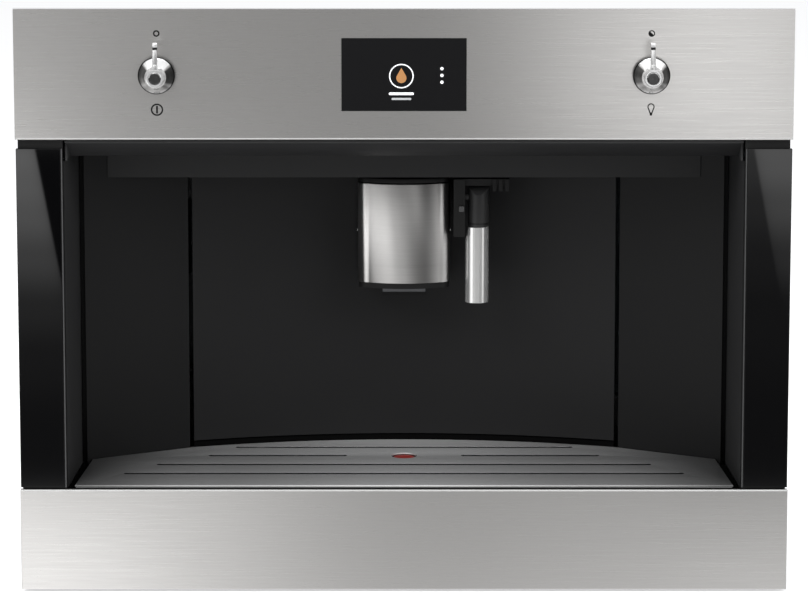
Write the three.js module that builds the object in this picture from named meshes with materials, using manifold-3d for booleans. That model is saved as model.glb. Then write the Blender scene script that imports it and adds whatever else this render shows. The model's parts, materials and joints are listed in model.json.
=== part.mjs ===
// A built-in coffee machine, 60 cm wide, for a 45 cm niche: a niche with a cup tray, a height-adjustable
// spout and a steam wand on a curved service door, under a control panel with two lever knobs.
// Millimetres, +Z up, front towards -Y. The machine's pieces are drawn in the front's own frame:
// x from the middle, y as depth behind the front panels, z from the front's lower edge.

import * as THREE from 'three';
import { mergeVertices } from 'three/addons/utils/BufferGeometryUtils.js';
import Module from 'manifold-3d';

const wasm = await Module();
wasm.setup();

// Driving dimensions

const gap = 0.3;                 // between pieces that seat on each other
const front = { width: 597, height: 455, sheet: 1.2, fold: 4.7, depthToOrigin: 190, aboveBase: 2 };
const controlPanel = { bottom: 354.5, displayWidth: 95.2, displayHeight: 55.6, displayZ: 404.7 };
const lowerPanel = { height: 80 };
const sideGlass = { inner: 263.8, outer: 298, bottom: 81.6, top: 347.4, thickness: 4 };
const frame = { halfWidth: 296.8, front: 5, plate: 4, barDepth: 14, barWidth: 27, opening: 262.4, seat: 278.5 };
const niche = {
  wallBack: 94.5, wallBackX: 258.2, cornerX: 252, cornerDepth: 94.4,
  lipDepth: 37, lipZ: 337, lipFrontZ: 351.6, top: 336.6, sheet: 2,
};
const door = {
  seamX: 174, seamDepth: 139.1, halfWidth: 171, midDepth: 169.6, bottom: 88.2, top: 309,
  skin: 2.5, pivotX: -165, pivotDepth: 150, pinRadius: 2.5,
};
const canopy = { front: 103, bottom: 310.5, top: 340, wall: 2.5, back: 183.5 };
const lamp = { x: 120, depth: 124, radius: 10.7 };
const tray = { frontX: 256, frontDepth: 1, cornerX: 249.7, cornerDepth: 94.5, top: 83.3, plate: 1.2 };
const slotRows = [               // one row of cup-grid slots each: depth, half length, half of a middle gap
  { depth: 42.5, half: 220.8, middle: 0 },
  { depth: 75, half: 197.1, middle: 0 },
  { depth: 107.7, half: 157.3, middle: 46 },
  { depth: 139, half: 137, middle: 0 },
];
const slotWidth = 5;
const float = { depth: 107.7, radius: 9 };
const tub = { front: 15, sideInset: 9, floor: 30, wall: 2 };
const spout = { halfWidth: 37, nose: 108, bulge: 64, corner: 9, bottom: 223.6, top: 303.7, sheet: 1.2 };
const wand = { x: 59.5, depth: 115, radius: 8.3, pivotZ: 293.2, gripBottom: 269.6, sleeveBottom: 208 };
const knob = { x: 189.1, z: 404.4, radius: 14.25, reach: 24.6, travel: 2, leverTop: 26.8, leverWidth: 3.5 };
const body = { halfWidth: 277, lowHalfWidth: 267, stepZ: 70, front: 19.4, back: 375, top: 414, sheet: 1.2 };
const runner = { outerX: 280, bottom: 20, height: 45, length: 350, front: -160, sheet: 1.2 };
const tank = { x: [168, 262], depth: [205, 360], bottom: 112, top: 409, wall: 2.5, corner: 16 };
const hopper = { x: [-258, -114], depth: [194, 342], outletX: -213, outletDepth: 265, bottom: 345, top: 410.5 };
const funnel = { x: [-92, -52], depth: [222, 268] };
const inlet = { x: [-204, -176], front: 360, bottom: 40, top: 92, rockerZ: 78 };
const housing = { halfWidth: 158, front: 184.5, back: 332, bottom: 60, top: 306, wall: 2.5 };

// Materials, by finish

const finishes = {
  brushedSteel: { color: 0xb9b7b2, roughness: 0.35, metalness: 1 },
  chrome: { color: 0xdedede, roughness: 0.12, metalness: 1 },
  zincSheet: { color: 0xa3a6a8, roughness: 0.5, metalness: 0.9 },
  runnerSteel: { color: 0x8e9194, roughness: 0.45, metalness: 0.9 },
  blackGlass: { color: 0x08080a, roughness: 0.06, metalness: 0 },
  blackPlastic: { color: 0x17171a, roughness: 0.55, metalness: 0 },
  nicheLiner: { color: 0x232324, roughness: 0.42, metalness: 0.1 },
  darkSteel: { color: 0x5c5c5c, roughness: 0.4, metalness: 0.9 },
  greyPlastic: { color: 0x4a4c50, roughness: 0.6, metalness: 0 },
  clearPlastic: { color: 0xbfcfd6, roughness: 0.1, metalness: 0 },
  lampLens: { color: 0xe8e6dc, roughness: 0.25, metalness: 0 },
  castAluminium: { color: 0x9c9ea0, roughness: 0.55, metalness: 0.9 },
  boardGreen: { color: 0x1f4a33, roughness: 0.6, metalness: 0 },
  signalRed: { color: 0xa3261f, roughness: 0.5, metalness: 0 },
};

// Solids from three.js geometry

function solidOf(geometry) {
  const bare = geometry.clone();
  bare.deleteAttribute('normal');
  bare.deleteAttribute('uv');
  const merged = mergeVertices(bare, 1e-4);
  const corners = merged.getIndex().array;
  const points = merged.getAttribute('position').array;
  const kept = [];
  let volume = 0;
  const a = new THREE.Vector3();
  const b = new THREE.Vector3();
  const c = new THREE.Vector3();
  for (let i = 0; i < corners.length; i += 3) {
    const [p, q, r] = [corners[i], corners[i + 1], corners[i + 2]];
    if (p === q || q === r || r === p) continue;
    a.fromArray(points, p * 3);
    b.fromArray(points, q * 3);
    c.fromArray(points, r * 3);
    volume += a.dot(b.cross(c));
    kept.push([p, q, r]);
  }
  const outward = volume > 0 ? kept : kept.map(([p, q, r]) => [p, r, q]);
  return new wasm.Manifold(new wasm.Mesh({
    numProp: 3,
    vertProperties: new Float32Array(points),
    triVerts: new Uint32Array(outward.flat()),
  }));
}

const join = (first, ...others) => others.reduce((whole, piece) => whole.add(piece), first);
const cut = (first, ...others) => others.reduce((whole, piece) => whole.subtract(piece), first);

function pieceMesh(name, solid, finish) {
  const { vertProperties, triVerts } = solid.getMesh();
  const geometry = new THREE.BufferGeometry();
  geometry.setAttribute('position', new THREE.BufferAttribute(new Float32Array(vertProperties), 3));
  geometry.setIndex(new THREE.BufferAttribute(new Uint32Array(triVerts), 1));
  geometry.computeVertexNormals();
  const mesh = new THREE.Mesh(geometry, new THREE.MeshStandardMaterial(finishes[finish]));
  mesh.name = name;
  return mesh;
}

// Outlines are lists of [a, b] points or a THREE.Shape

function asShape(outline) {
  if (outline instanceof THREE.Shape) return outline;
  return new THREE.Shape(outline.map(([a, b]) => new THREE.Vector2(a, b)));
}

// A straight extrusion of an outline, put in its place by a matrix, with its holes cut right through
function prism(outline, length, holes, place) {
  const extruded = (shape, start, depth) => {
    const geometry = new THREE.ExtrudeGeometry(asShape(shape), { depth, bevelEnabled: false, curveSegments: 4 });
    return solidOf(geometry.translate(0, 0, start).applyMatrix4(place));
  };
  return cut(extruded(outline, 0, length), ...holes.map((hole) => extruded(hole, -1, length + 2)));
}

const basis = (...axes) => new THREE.Matrix4().makeBasis(...axes.map((axis) => new THREE.Vector3(...axis)));

// An outline seen from above, (x, y), standing from z0 to z1
function upright(outline, z0, z1, holes = []) {
  return prism(outline, z1 - z0, holes, new THREE.Matrix4().makeTranslation(0, 0, z0));
}

// An outline seen from the front, (x, z), running forward from y1 to y0
function deep(outline, y0, y1, holes = []) {
  return prism(outline, y1 - y0, holes, basis([1, 0, 0], [0, 0, 1], [0, -1, 0]).setPosition(0, y1, 0));
}

// An outline seen from the right, (y, z), running across from x0 to x1
function across(outline, x0, x1, holes = []) {
  return prism(outline, x1 - x0, holes, basis([0, 1, 0], [0, 0, 1], [1, 0, 0]).setPosition(x0, 0, 0));
}

function block([x0, x1], [y0, y1], [z0, z1]) {
  const geometry = new THREE.BoxGeometry(x1 - x0, y1 - y0, z1 - z0);
  return solidOf(geometry.translate((x0 + x1) / 2, (y0 + y1) / 2, (z0 + z1) / 2));
}

function roundRod(radius, from, to, segments = 24, endRadius = radius) {
  const start = new THREE.Vector3(...from);
  const end = new THREE.Vector3(...to);
  const direction = end.clone().sub(start);
  const geometry = new THREE.CylinderGeometry(endRadius, radius, direction.length(), segments);
  const turn = new THREE.Quaternion().setFromUnitVectors(
    new THREE.Vector3(0, 1, 0), direction.clone().normalize());
  const middle = start.add(end).multiplyScalar(0.5);
  return solidOf(geometry.applyQuaternion(turn).translate(middle.x, middle.y, middle.z));
}

// A profile of [radius, height] points turned about an axis: 'z' stands up, 'y' points back
function turned(profile, axis, segments = 32) {
  const points = profile.map(([radius, height]) => new THREE.Vector2(radius, height));
  const geometry = new THREE.LatheGeometry(points, segments);
  if (axis === 'z') geometry.rotateX(Math.PI / 2);
  return solidOf(geometry);
}

// A solid through rings of [x, y, z] points, all with the same count, closed by flat ends
function loft(rings) {
  const count = rings[0].length;
  const indices = [];
  for (let level = 0; level + 1 < rings.length; level += 1) {
    for (let i = 0; i < count; i += 1) {
      const next = (i + 1) % count;
      const [p, q] = [level * count + i, level * count + next];
      indices.push(p, q, q + count, p, q + count, p + count);
    }
  }
  const last = (rings.length - 1) * count;
  for (let i = 1; i + 1 < count; i += 1) {
    indices.push(0, i + 1, i, last, last + i, last + i + 1);
  }
  const geometry = new THREE.BufferGeometry();
  geometry.setAttribute('position', new THREE.Float32BufferAttribute(rings.flat(2), 3));
  geometry.setIndex(indices);
  return solidOf(geometry);
}

function rectangle(x0, y0, x1, y1) {
  return [[x0, y0], [x1, y0], [x1, y1], [x0, y1]];
}

function ring([x0, x1], [y0, y1], z) {
  return rectangle(x0, y0, x1, y1).map(([x, y]) => [x, y, z]);
}

function roundedRectangle(x0, y0, x1, y1, radius) {
  const shape = new THREE.Shape();
  shape.absarc(x1 - radius, y1 - radius, radius, 0, Math.PI / 2);
  shape.absarc(x0 + radius, y1 - radius, radius, Math.PI / 2, Math.PI);
  shape.absarc(x0 + radius, y0 + radius, radius, Math.PI, 1.5 * Math.PI);
  shape.absarc(x1 - radius, y0 + radius, radius, 1.5 * Math.PI, 2 * Math.PI);
  return shape;
}

function circleOutline(x, y, radius, count = 24) {
  return Array.from({ length: count }, (_, i) => {
    const angle = (i / count) * 2 * Math.PI;
    return [x + radius * Math.cos(angle), y + radius * Math.sin(angle)];
  });
}

const mirrored = (points) => points.map(([x, y]) => [-x, y]).reverse();
const symmetric = (rightHalf) => [...rightHalf, ...mirrored(rightHalf)];

// Where two lines cross, each given by a point and a direction
function crossing(p, d, q, e) {
  const scale = ((q[0] - p[0]) * e[1] - (q[1] - p[1]) * e[0]) / (d[0] * e[1] - d[1] * e[0]);
  return [p[0] + d[0] * scale, p[1] + d[1] * scale];
}

// The line through the points, moved sideways by a distance, to the left of its direction
function beside(points, distance, closed = false) {
  const count = points.length;
  const legs = points.map((point, i) => {
    const next = points[(i + 1) % count];
    const length = Math.hypot(next[0] - point[0], next[1] - point[1]);
    const direction = [(next[0] - point[0]) / length, (next[1] - point[1]) / length];
    const moved = [point[0] - direction[1] * distance, point[1] + direction[0] * distance];
    return { direction, moved };
  });
  return points.map((point, i) => {
    const after = legs[i];
    const before = legs[(i + count - 1) % count];
    if (!closed && i === 0) return after.moved;
    if (!closed && i === count - 1) {
      return [point[0] - before.direction[1] * distance, point[1] + before.direction[0] * distance];
    }
    const turn = before.direction[0] * after.direction[1] - before.direction[1] * after.direction[0];
    if (Math.abs(turn) < 1e-6) return after.moved;
    return crossing(before.moved, before.direction, after.moved, after.direction);
  });
}

// A sheet of even thickness folded along a line, as an outline
function folded(line, thickness) {
  return [...beside(line, thickness / 2), ...beside(line, -thickness / 2).reverse()];
}

// Curves that several pieces share

door.rise = door.midDepth - door.seamDepth;
door.radius = (door.seamX ** 2 + door.rise ** 2) / (2 * door.rise);

// A point on the door's curve, moved back by an offset
function doorPoint(x, offset = 0) {
  return [x, door.midDepth - door.radius + Math.sqrt((door.radius + offset) ** 2 - x ** 2)];
}

function doorCurve(fromX, toX, offset = 0, steps = 16) {
  return Array.from({ length: steps + 1 }, (_, i) => doorPoint(fromX + ((toX - fromX) * i) / steps, offset));
}

// The flat angled panel's front face, from the niche corner to the door seam
const panelFace = [[niche.cornerX, niche.cornerDepth], [door.seamX, door.seamDepth]];

// The cup tray's outline, drawn in by an inset from the walls around it
function trayOutline(inset = 0) {
  const behind = doorCurve(door.seamX - 2, -door.seamX + 2, -0.7);
  const outline = [
    [-tray.frontX, tray.frontDepth], [tray.frontX, tray.frontDepth],
    [tray.cornerX, tray.cornerDepth], ...behind, [-tray.cornerX, tray.cornerDepth],
  ];
  return inset ? beside(outline, inset, true) : outline;
}

// Front: panels, glass, frame, display and lever knobs

function foldedFrontPanel(bottom, top, holes) {
  const half = front.width / 2;
  const inside = rectangle(-half + front.sheet, bottom + front.sheet, half - front.sheet, top - front.sheet);
  const face = deep(rectangle(-half, bottom, half, top), 0, front.sheet, holes);
  return join(face, deep(rectangle(-half, bottom, half, top), front.sheet - 0.1, front.fold, [inside]));
}

function displayOutline(margin) {
  const [w, h] = [controlPanel.displayWidth / 2 + margin, controlPanel.displayHeight / 2 + margin];
  return rectangle(-w, controlPanel.displayZ - h, w, controlPanel.displayZ + h);
}

function frontPieces() {
  const knobHoles = (radius) => [-knob.x, knob.x].map((x) => circleOutline(x, knob.z, radius));
  const { halfWidth, front: near, plate, barDepth, barWidth, opening } = frame;
  const topPlate = rectangle(-opening, controlPanel.bottom - 0.2, opening, front.height - 1.6);
  const bars = [-1, 1].map((side) => {
    const [a, b] = [side * halfWidth, side * (halfWidth - barWidth)];
    return deep(rectangle(Math.min(a, b), 1.6, Math.max(a, b), front.height - 1.6), near, near + barDepth);
  });
  const seats = [-1, 1].map((side) => {    // strips that lie on the cabinet's front edges
    const [a, b] = [side * halfWidth, side * frame.seat];
    return deep(rectangle(Math.min(a, b), 1.6, Math.max(a, b), front.height - 1.6), near + barDepth - 0.1,
      near + barDepth + 0.6);
  });
  const webs = [-1, 1].map((side) => {
    const [a, b] = [side * (opening - 0.1), side * (halfWidth - barWidth + 0.1)];
    return deep(rectangle(Math.min(a, b), 1.6, Math.max(a, b), front.height - 1.6), near, near + plate);
  });
  const beads = [-1, 1].map((side) => {
    const [a, b] = [side * opening, side * (opening + 1)];
    return deep(rectangle(Math.min(a, b), sideGlass.bottom, Math.max(a, b), sideGlass.top), 0.6, near + 0.1);
  });
  const display = displayOutline(0);
  return [
    pieceMesh('control_panel', foldedFrontPanel(controlPanel.bottom, front.height,
      [displayOutline(gap), ...knobHoles(5)]), 'brushedSteel'),
    pieceMesh('lower_panel', foldedFrontPanel(0, lowerPanel.height, []), 'brushedSteel'),
    ...[['side_glass_left', -1], ['side_glass_right', 1]].map(([name, side]) => {
      const [a, b] = [side * sideGlass.inner, side * sideGlass.outer];
      const face = rectangle(Math.min(a, b), sideGlass.bottom, Math.max(a, b), sideGlass.top);
      return pieceMesh(name, deep(face, 0.4, 0.4 + sideGlass.thickness), 'blackGlass');
    }),
    pieceMesh('front_frame', join(
      deep(topPlate, near, near + plate, [displayOutline(2.4), ...knobHoles(7)]),
      deep(rectangle(-opening, 1.6, opening, lowerPanel.height - 1.7), near, near + plate),
      ...bars, ...seats, ...webs, ...beads), 'blackPlastic'),
    pieceMesh('display_glass', deep(display, 0.2, 2.2), 'blackGlass'),
    pieceMesh('display_board', join(
      deep(rectangle(-208, 372, 208, 410), 26, 27.6),
      deep(displayOutline(1.4), 3, 17), deep(rectangle(-44, 379, 44, 409), 16.9, 26.1),
      ...[-knob.x, knob.x].map((x) => deep(roundedRectangle(x - 7, knob.z - 7, x + 7, knob.z + 7, 2),
        18, 26.1, [circleOutline(x, knob.z, 3.6)]))), 'boardGreen'),
  ];
}

function leverKnob(side) {
  const group = new THREE.Group();
  group.position.set(side === 'left' ? -knob.x : knob.x, 0, knob.z);
  const { radius, reach, travel, leverTop, leverWidth } = knob;
  const back = -travel - 0.7;
  const skirt = turned([
    [0, back], [radius, back], [radius, back - 2], [radius - 0.5, back - 2.6], [8.2, -17.5],
    [7, -19.5], [6.75, -20.2], [6.75, -reach + 0.4], [6.35, -reach], [0, -reach]], 'y', 28);
  const lever = across([
    [-reach + 0.8, 5.2], [-reach + 3.4, leverTop - 0.8], [-reach + 4, leverTop], [-reach + 6.2, leverTop],
    [-reach + 7, leverTop - 1], [-reach + 10, 8], [-reach + 12, 0], [-reach + 4, 0], [-reach + 0.8, 4]],
  -leverWidth / 2, leverWidth / 2);
  const bore = roundRod(3.3, [0, back + 1, 0], [0, -18, 0]);
  const recess = roundRod(4.7, [0, -reach - 1, 0], [0, -reach + 2.4, 0]);
  group.add(
    pieceMesh(`knob_${side}`, cut(join(skirt, lever), bore, recess), 'chrome'),
    pieceMesh(`knob_insert_${side}`, turned([[0, -reach + 0.5], [3.2, -reach + 0.5], [4.3, -reach + 1],
      [4.3, -reach + 2.1], [0, -reach + 2.1]], 'y', 24), 'darkSteel'),
    pieceMesh(`knob_shaft_${side}`, roundRod(3, [0, -17.7, 0], [0, 22, 0], 16), 'zincSheet'),
    pieceMesh(`push_collar_${side}`, turned([[3.4, 10.6], [6, 10.6], [6, 12], [5, 12.6], [5, 15.4], [3.4, 15.4],
      [3.4, 10.6]], 'y', 24), 'greyPlastic'));
  return group;
}

// Niche: side liners, sloped lip and soffit, canopy with lamps, drip well

function nicheSide(side) {
  const half = niche.sheet / 2;
  const { wallBack, wallBackX } = niche;
  const [corner, seam] = beside(panelFace, -half);
  const line = [
    [frame.opening - 0.4 + half, 9.3], [wallBackX + half, wallBack], [wallBackX + half, 105],
    [niche.cornerX + half, 105], [niche.cornerX + half, corner[1] - 0.2], seam];
  const outline = folded(line, niche.sheet);
  return upright(side < 0 ? mirrored(outline) : outline, 79.3, niche.top);
}

function nicheSoffit() {
  const { lipDepth, lipZ, lipFrontZ, sheet } = niche;
  const line = [[5.6, lipFrontZ], [lipDepth, lipZ], [canopy.front - gap, lipZ]];
  const lip = across([...line, ...beside(line, sheet).reverse()], -261, 261);
  const gusset = [[9.4, lipZ], [lipDepth, lipZ], [lipDepth, lipZ + 1], [9.4, lipFrontZ - 1]];
  return join(lip, ...[-261, 259.2].map((x) => across(gusset, x, x + 1.8)));
}

function nicheCanopy() {
  const inFront = (depth) => crossing([0, depth], [1, 0], panelFace[0],
    [panelFace[1][0] - panelFace[0][0], panelFace[1][1] - panelFace[0][1]])[0];
  const rightHalf = [
    [inFront(canopy.front) - 0.9, canopy.front], [door.seamX - 0.9, door.seamDepth - 0.5],
    [door.seamX - 0.9, canopy.back]];
  const outline = symmetric(rightHalf);
  const shell = cut(
    upright(outline, canopy.bottom, canopy.top),
    upright(beside(outline, canopy.wall, true), canopy.bottom + canopy.wall, canopy.top + 1));
  const lampHoles = [-lamp.x, lamp.x].map((x) => roundRod(lamp.radius + 0.3, [x, lamp.depth, 300],
    [x, lamp.depth, 320]));
  const stud = roundRod(door.pinRadius, [door.pivotX, door.pivotDepth, canopy.bottom + 1],
    [door.pivotX, door.pivotDepth, door.top - 12]);
  return join(cut(shell, ...lampHoles), stud);
}

function dripWell() {
  const flangeRight = [[frame.opening - 1.2, 9.4], [niche.wallBackX - 0.5, niche.wallBack - 0.5],
    ...beside(panelFace, 0.8)];
  const behind = doorCurve(door.halfWidth, -door.halfWidth, 14);
  const outline = [...flangeRight, ...behind, ...mirrored(flangeRight)];
  const around = beside(tubOutline(), -1.4, true);
  const wall = beside(around, -2.2, true);
  const sillOutline = [...doorCurve(-door.halfWidth, door.halfWidth, 2), ...behind];
  return join(
    upright(outline, 77, 79, [around]),
    upright(wall, tub.floor - 5, 77.1, [around]),
    upright(wall, tub.floor - 7, tub.floor - 4.9),
    upright(sillOutline, 60, 87.4),
    roundRod(door.pinRadius, [door.pivotX, door.pivotDepth, 87], [door.pivotX, door.pivotDepth, door.bottom + 12]));
}

function nichePieces() {
  const lens = [[0, 311.2], [lamp.radius, 311.2], [lamp.radius, 313.4], [lamp.radius + 2, 313.4],
    [lamp.radius + 2, 314.6], [0, 314.6]];
  return [
    pieceMesh('niche_side_left', nicheSide(-1), 'nicheLiner'),
    pieceMesh('niche_side_right', nicheSide(1), 'nicheLiner'),
    pieceMesh('niche_soffit', nicheSoffit(), 'nicheLiner'),
    pieceMesh('niche_canopy', nicheCanopy(), 'nicheLiner'),
    pieceMesh('drip_well', dripWell(), 'blackPlastic'),
    ...[['lamp_lens_left', -lamp.x], ['lamp_lens_right', lamp.x]].map(([name, x]) => pieceMesh(name,
      turned(lens, 'z', 24).translate([x, lamp.depth, 0]), 'lampLens')),
  ];
}

// Cup tray: slotted grid, drip tray and float

function tubOutline() {
  const outline = beside(trayOutline(), tub.sideInset, true);
  return outline.map(([x, depth]) => [x, Math.max(depth, tub.front)]);
}

function slotOutlines() {
  const outlines = [];
  for (const row of slotRows) {
    const spans = row.middle ? [[-row.half, -row.middle], [row.middle, row.half]] : [[-row.half, row.half]];
    for (const [from, to] of spans) {
      outlines.push(roundedRectangle(from, row.depth - slotWidth / 2, to, row.depth + slotWidth / 2,
        slotWidth / 2 - 0.01));
    }
  }
  return outlines;
}

function cupGrid() {
  const plate = upright(trayOutline(), tray.top - tray.plate, tray.top,
    [...slotOutlines(), circleOutline(0, float.depth, float.radius + 1)]);
  const skirtOuter = beside(tubOutline(), tub.wall + 1.5, true);
  const skirt = upright(skirtOuter, tray.top - 7, tray.top - tray.plate + 0.1, [beside(skirtOuter, 1.4, true)]);
  return join(plate, skirt);
}

function dripTray() {
  const outer = tubOutline();
  const inner = beside(outer, tub.wall, true);
  const rimTop = tray.top - tray.plate - gap;
  const baffles = [-120, 120].map((x) => block([x - 1, x + 1], [60, 120], [tub.floor, tub.floor + 22]));
  return join(
    upright(trayOutline(0.4), rimTop - 1, rimTop, [inner]),
    upright(outer, tub.floor, rimTop - 0.5, [inner]),
    upright(outer, tub.floor, tub.floor + tub.wall),
    ...baffles);
}

function trayFloat() {
  const { depth, radius } = float;
  return turned([[0, tub.floor + 4], [radius + 7, tub.floor + 4], [radius + 7, tub.floor + 10], [3, tub.floor + 14],
    [3, 70], [radius, 74], [radius, tray.top - 1.8], [radius - 1, tray.top - 1], [0, tray.top - 1]], 'z', 24)
    .translate([0, depth, 0]);
}

// Service door, spout and steam wand

function doorSkin() {
  const outline = [...doorCurve(-door.halfWidth, door.halfWidth), ...doorCurve(door.halfWidth, -door.halfWidth,
    door.skin)];
  return upright(outline, door.bottom, door.top);
}

function doorInnerFrame() {
  const { pivotX, pivotDepth, halfWidth, bottom, top, pinRadius } = door;
  const outline = [...doorCurve(pivotX + 8, halfWidth - 3, door.skin + gap),
    ...doorCurve(halfWidth - 3, pivotX + 8, 9)];
  const window = block([-120, 125], [140, 200], [bottom + 34, top - 40]);
  const eyes = [[bottom + 1, bottom + 15], [top - 15, top - 1]].map(([z0, z1]) => join(
    upright(circleOutline(pivotX, pivotDepth, 5.2), z0, z1),
    block([pivotX, pivotX + 14], [pivotDepth - 2, pivotDepth + 3], [z0, z1])));
  const latch = across([[172, 190], [179, 190], [179, 214], [175, 214], [172, 206]], halfWidth - 16, halfWidth - 8)
    .translate([0, -20, 0]);
  const holes = [[bottom, bottom + 16], [top - 16, top]].map(([z0, z1]) => roundRod(pinRadius + 0.4,
    [pivotX, pivotDepth, z0], [pivotX, pivotDepth, z1]));
  const behindSkin = upright([...doorCurve(-180, 180, door.skin + gap), [180, 200], [-180, 200]], bottom, top);
  return cut(join(cut(upright(outline, bottom + 1, top - 1), window),
    ...eyes.map((eye) => eye.intersect(behindSkin)), latch), ...holes);
}

// The spout's outline from above: straight sides, tight corners and a shallow bulge, drawn in by an inset
function spoutOutline(inset, back) {
  const { halfWidth, nose, bulge, corner } = spout;
  const [w, front_, r] = [halfWidth - inset, nose + inset, corner - inset];
  const arcHalf = w - r * 0.9;
  const edgeDepth = front_ + bulge - Math.sqrt(bulge ** 2 - arcHalf ** 2);
  const right = [];
  for (let i = 0; i <= 6; i += 1) {
    const x = (arcHalf * i) / 6;
    right.push([x, front_ + bulge - Math.sqrt(bulge ** 2 - x ** 2)]);
  }
  for (let i = 1; i <= 4; i += 1) {
    const angle = (i / 4) * (Math.PI / 2);
    right.push([arcHalf + (w - arcHalf) * Math.sin(angle), edgeDepth + r * (1 - Math.cos(angle))]);
  }
  right.push([w, back]);
  return [...mirrored(right.slice(1)), ...right];
}

function spoutPieces() {
  const { bottom, top, sheet } = spout;
  const back = 158;
  const railTop = door.top - 0.8;
  const cover = upright([...spoutOutline(0, back), ...spoutOutline(sheet, back).reverse()], bottom, top);
  const rail = join(
    block([-22, 22], [132, 168.2], [bottom + 3, railTop]),
    upright(spoutOutline(0.6, 165), top + 0.8, railTop));
  const inside = sheet + 0.4;
  const carriage = join(
    cut(upright(spoutOutline(inside, back), bottom - 0.4, top - 0.4),
      block([-22.8, 22.8], [131.2, 200], [bottom + 1, top + 1])),
    upright(spoutOutline(0.8, back - 2), bottom - 4.4, bottom - 0.3),
    cut(block([-18, 18], [126, 150], [bottom - 12.6, bottom - 4.3]),
      ...[-10, 10].map((x) => roundRod(3, [x, 138, bottom - 20], [x, 138, bottom - 6], 16))));
  return {
    rail: pieceMesh('spout_rail', rail, 'blackPlastic'),
    cover: pieceMesh('spout_cover', cover, 'brushedSteel'),
    carriage: pieceMesh('spout_carriage', carriage, 'blackPlastic'),
  };
}

function wandBracket() {
  const { x, depth, pivotZ } = wand;
  const plate = across([[105.5, 262], [126, 262], [166.7, 290], [166.7, 308.4], [105.5, 308.4]], 39.6, 48.7);
  const button = block([43.6, 48], [104.7, 106], [282.4, 287]);
  const arm = block([48.6, 84], [depth - 7, depth + 12], [303, 308.4]);
  const ribs = [70.5, 75.5, 80.5].map((from) => block([from, from + 3], [depth - 8.5, depth + 13], [298.6, 308.4]));
  const ribRoot = block([70.5, 83.5], [depth - 6, depth + 11], [300, 304]);
  const bore = roundRod(3.5, [39, depth, pivotZ], [x, depth, pivotZ], 20);
  return cut(join(plate, button, arm, ribRoot, ...ribs), bore);
}

function wandPieces() {
  const { x, depth, radius, pivotZ, gripBottom, sleeveBottom } = wand;
  const sleeveTop = gripBottom - gap;
  const grip = join(
    roundRod(radius, [x, depth, gripBottom], [x, depth, pivotZ]),
    roundRod(radius, [x, depth, pivotZ - radius], [x, depth, pivotZ + radius]).intersect(
      roundRod(radius, [x - radius - 1, depth, pivotZ], [x + radius + 1, depth, pivotZ])),
    roundRod(3, [41, depth, pivotZ], [x, depth, pivotZ], 16));
  const groove = cut(roundRod(radius + 1, [x, depth, gripBottom + 2], [x, depth, gripBottom + 3.2]),
    roundRod(radius - 0.7, [x, depth, gripBottom], [x, depth, gripBottom + 5]));
  const rib = 2.2;
  const leftHalf = across([[100, 200], [130, 200], [130, sleeveTop], [100, sleeveTop]], x - radius - rib - 2, x);
  const side = cut(roundRod(radius, [x - rib, depth, sleeveBottom], [x - rib, depth, sleeveTop]),
    deep([[x - radius - rib - 1, 253], [x - radius, sleeveTop - 1], [x - radius, sleeveTop + 5],
      [x - radius - rib - 5, sleeveTop + 5]], 100, 130));
  const sleeve = cut(
    join(roundRod(radius, [x, depth, sleeveBottom], [x, depth, sleeveTop]), side.intersect(leftHalf)),
    roundRod(radius - 1.6, [x, depth, sleeveBottom - 1], [x, depth, sleeveTop - 4]));
  const nozzle = turned([[0, sleeveBottom + 2], [1.6, sleeveBottom + 2], [3, sleeveBottom + 6], [3, sleeveTop - 12],
    [4.4, sleeveTop - 10], [4.4, sleeveTop - 4.3], [0, sleeveTop - 4.3]], 'z', 20).translate([x, depth, 0]);
  return [
    pieceMesh('wand_grip', cut(grip, groove), 'blackPlastic'),
    pieceMesh('wand_sleeve', sleeve, 'chrome'),
    pieceMesh('wand_nozzle', nozzle, 'chrome'),
  ];
}

// Behind the door: brew housing, brewing unit and grounds container

function brewHousing() {
  const { halfWidth, front: near, back, bottom, top, wall } = housing;
  const shell = cut(
    block([-halfWidth, halfWidth], [near, back], [bottom, top]),
    block([-halfWidth + wall, halfWidth - wall], [near - 1, back - wall], [bottom + wall, top - wall]));
  const legs = [[-1, near + 10], [1, near + 10], [-1, back - 22], [1, back - 22]].map(([side, y]) => {
    const x = side * (halfWidth - 16);
    return block([x - 8, x + 8], [y, y + 12], [0, bottom + 1]);
  });
  const chute = roundRod(13, [-70, 245, top - 10], [-70, 245, top + 5]);
  return cut(join(shell, ...legs), chute);
}

function brewingUnit() {
  const sides = [[8, 16], [138, 146]].map((x) => block(x, [196, 316], [64, 270]));
  const buttons = [[38, 52], [102, 116]].map((x) => block(x, [190, 197], [232, 246]));
  return join(...sides,
    block([8, 146], [196, 316], [64, 84]), block([8, 146], [196, 216], [226, 256]),
    block([8, 146], [236, 306], [250, 262]),
    roundRod(34, [77, 258, 80], [77, 258, 176], 32), roundRod(28, [77, 258, 186], [77, 258, 254], 32),
    roundRod(9, [77, 258, 170], [77, 258, 190], 20), ...buttons);
}

function groundsContainer() {
  const shape = (inset, floor) => loft([
    ring([-150 + inset, -4 - inset], [206 + inset, 322 - inset], floor),
    ring([-150 + inset, -4 - inset], [192 + inset, 322 - inset], 196 + inset)]);
  const grip = block([-112, -42], [186, 196], [166, 172]);
  return join(cut(shape(0, 64), shape(2, 66)), grip);
}

// Machine casing

function casingSide(side) {
  const { halfWidth, lowHalfWidth, stepZ, front: near, back, top, sheet } = body;
  const line = [[lowHalfWidth - sheet / 2, 0], [lowHalfWidth - sheet / 2, stepZ],
    [halfWidth - sheet / 2, stepZ], [halfWidth - sheet / 2, top - 1.5]];
  const outline = folded(line, sheet);
  return deep(side < 0 ? mirrored(outline) : outline, near, back);
}

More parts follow.
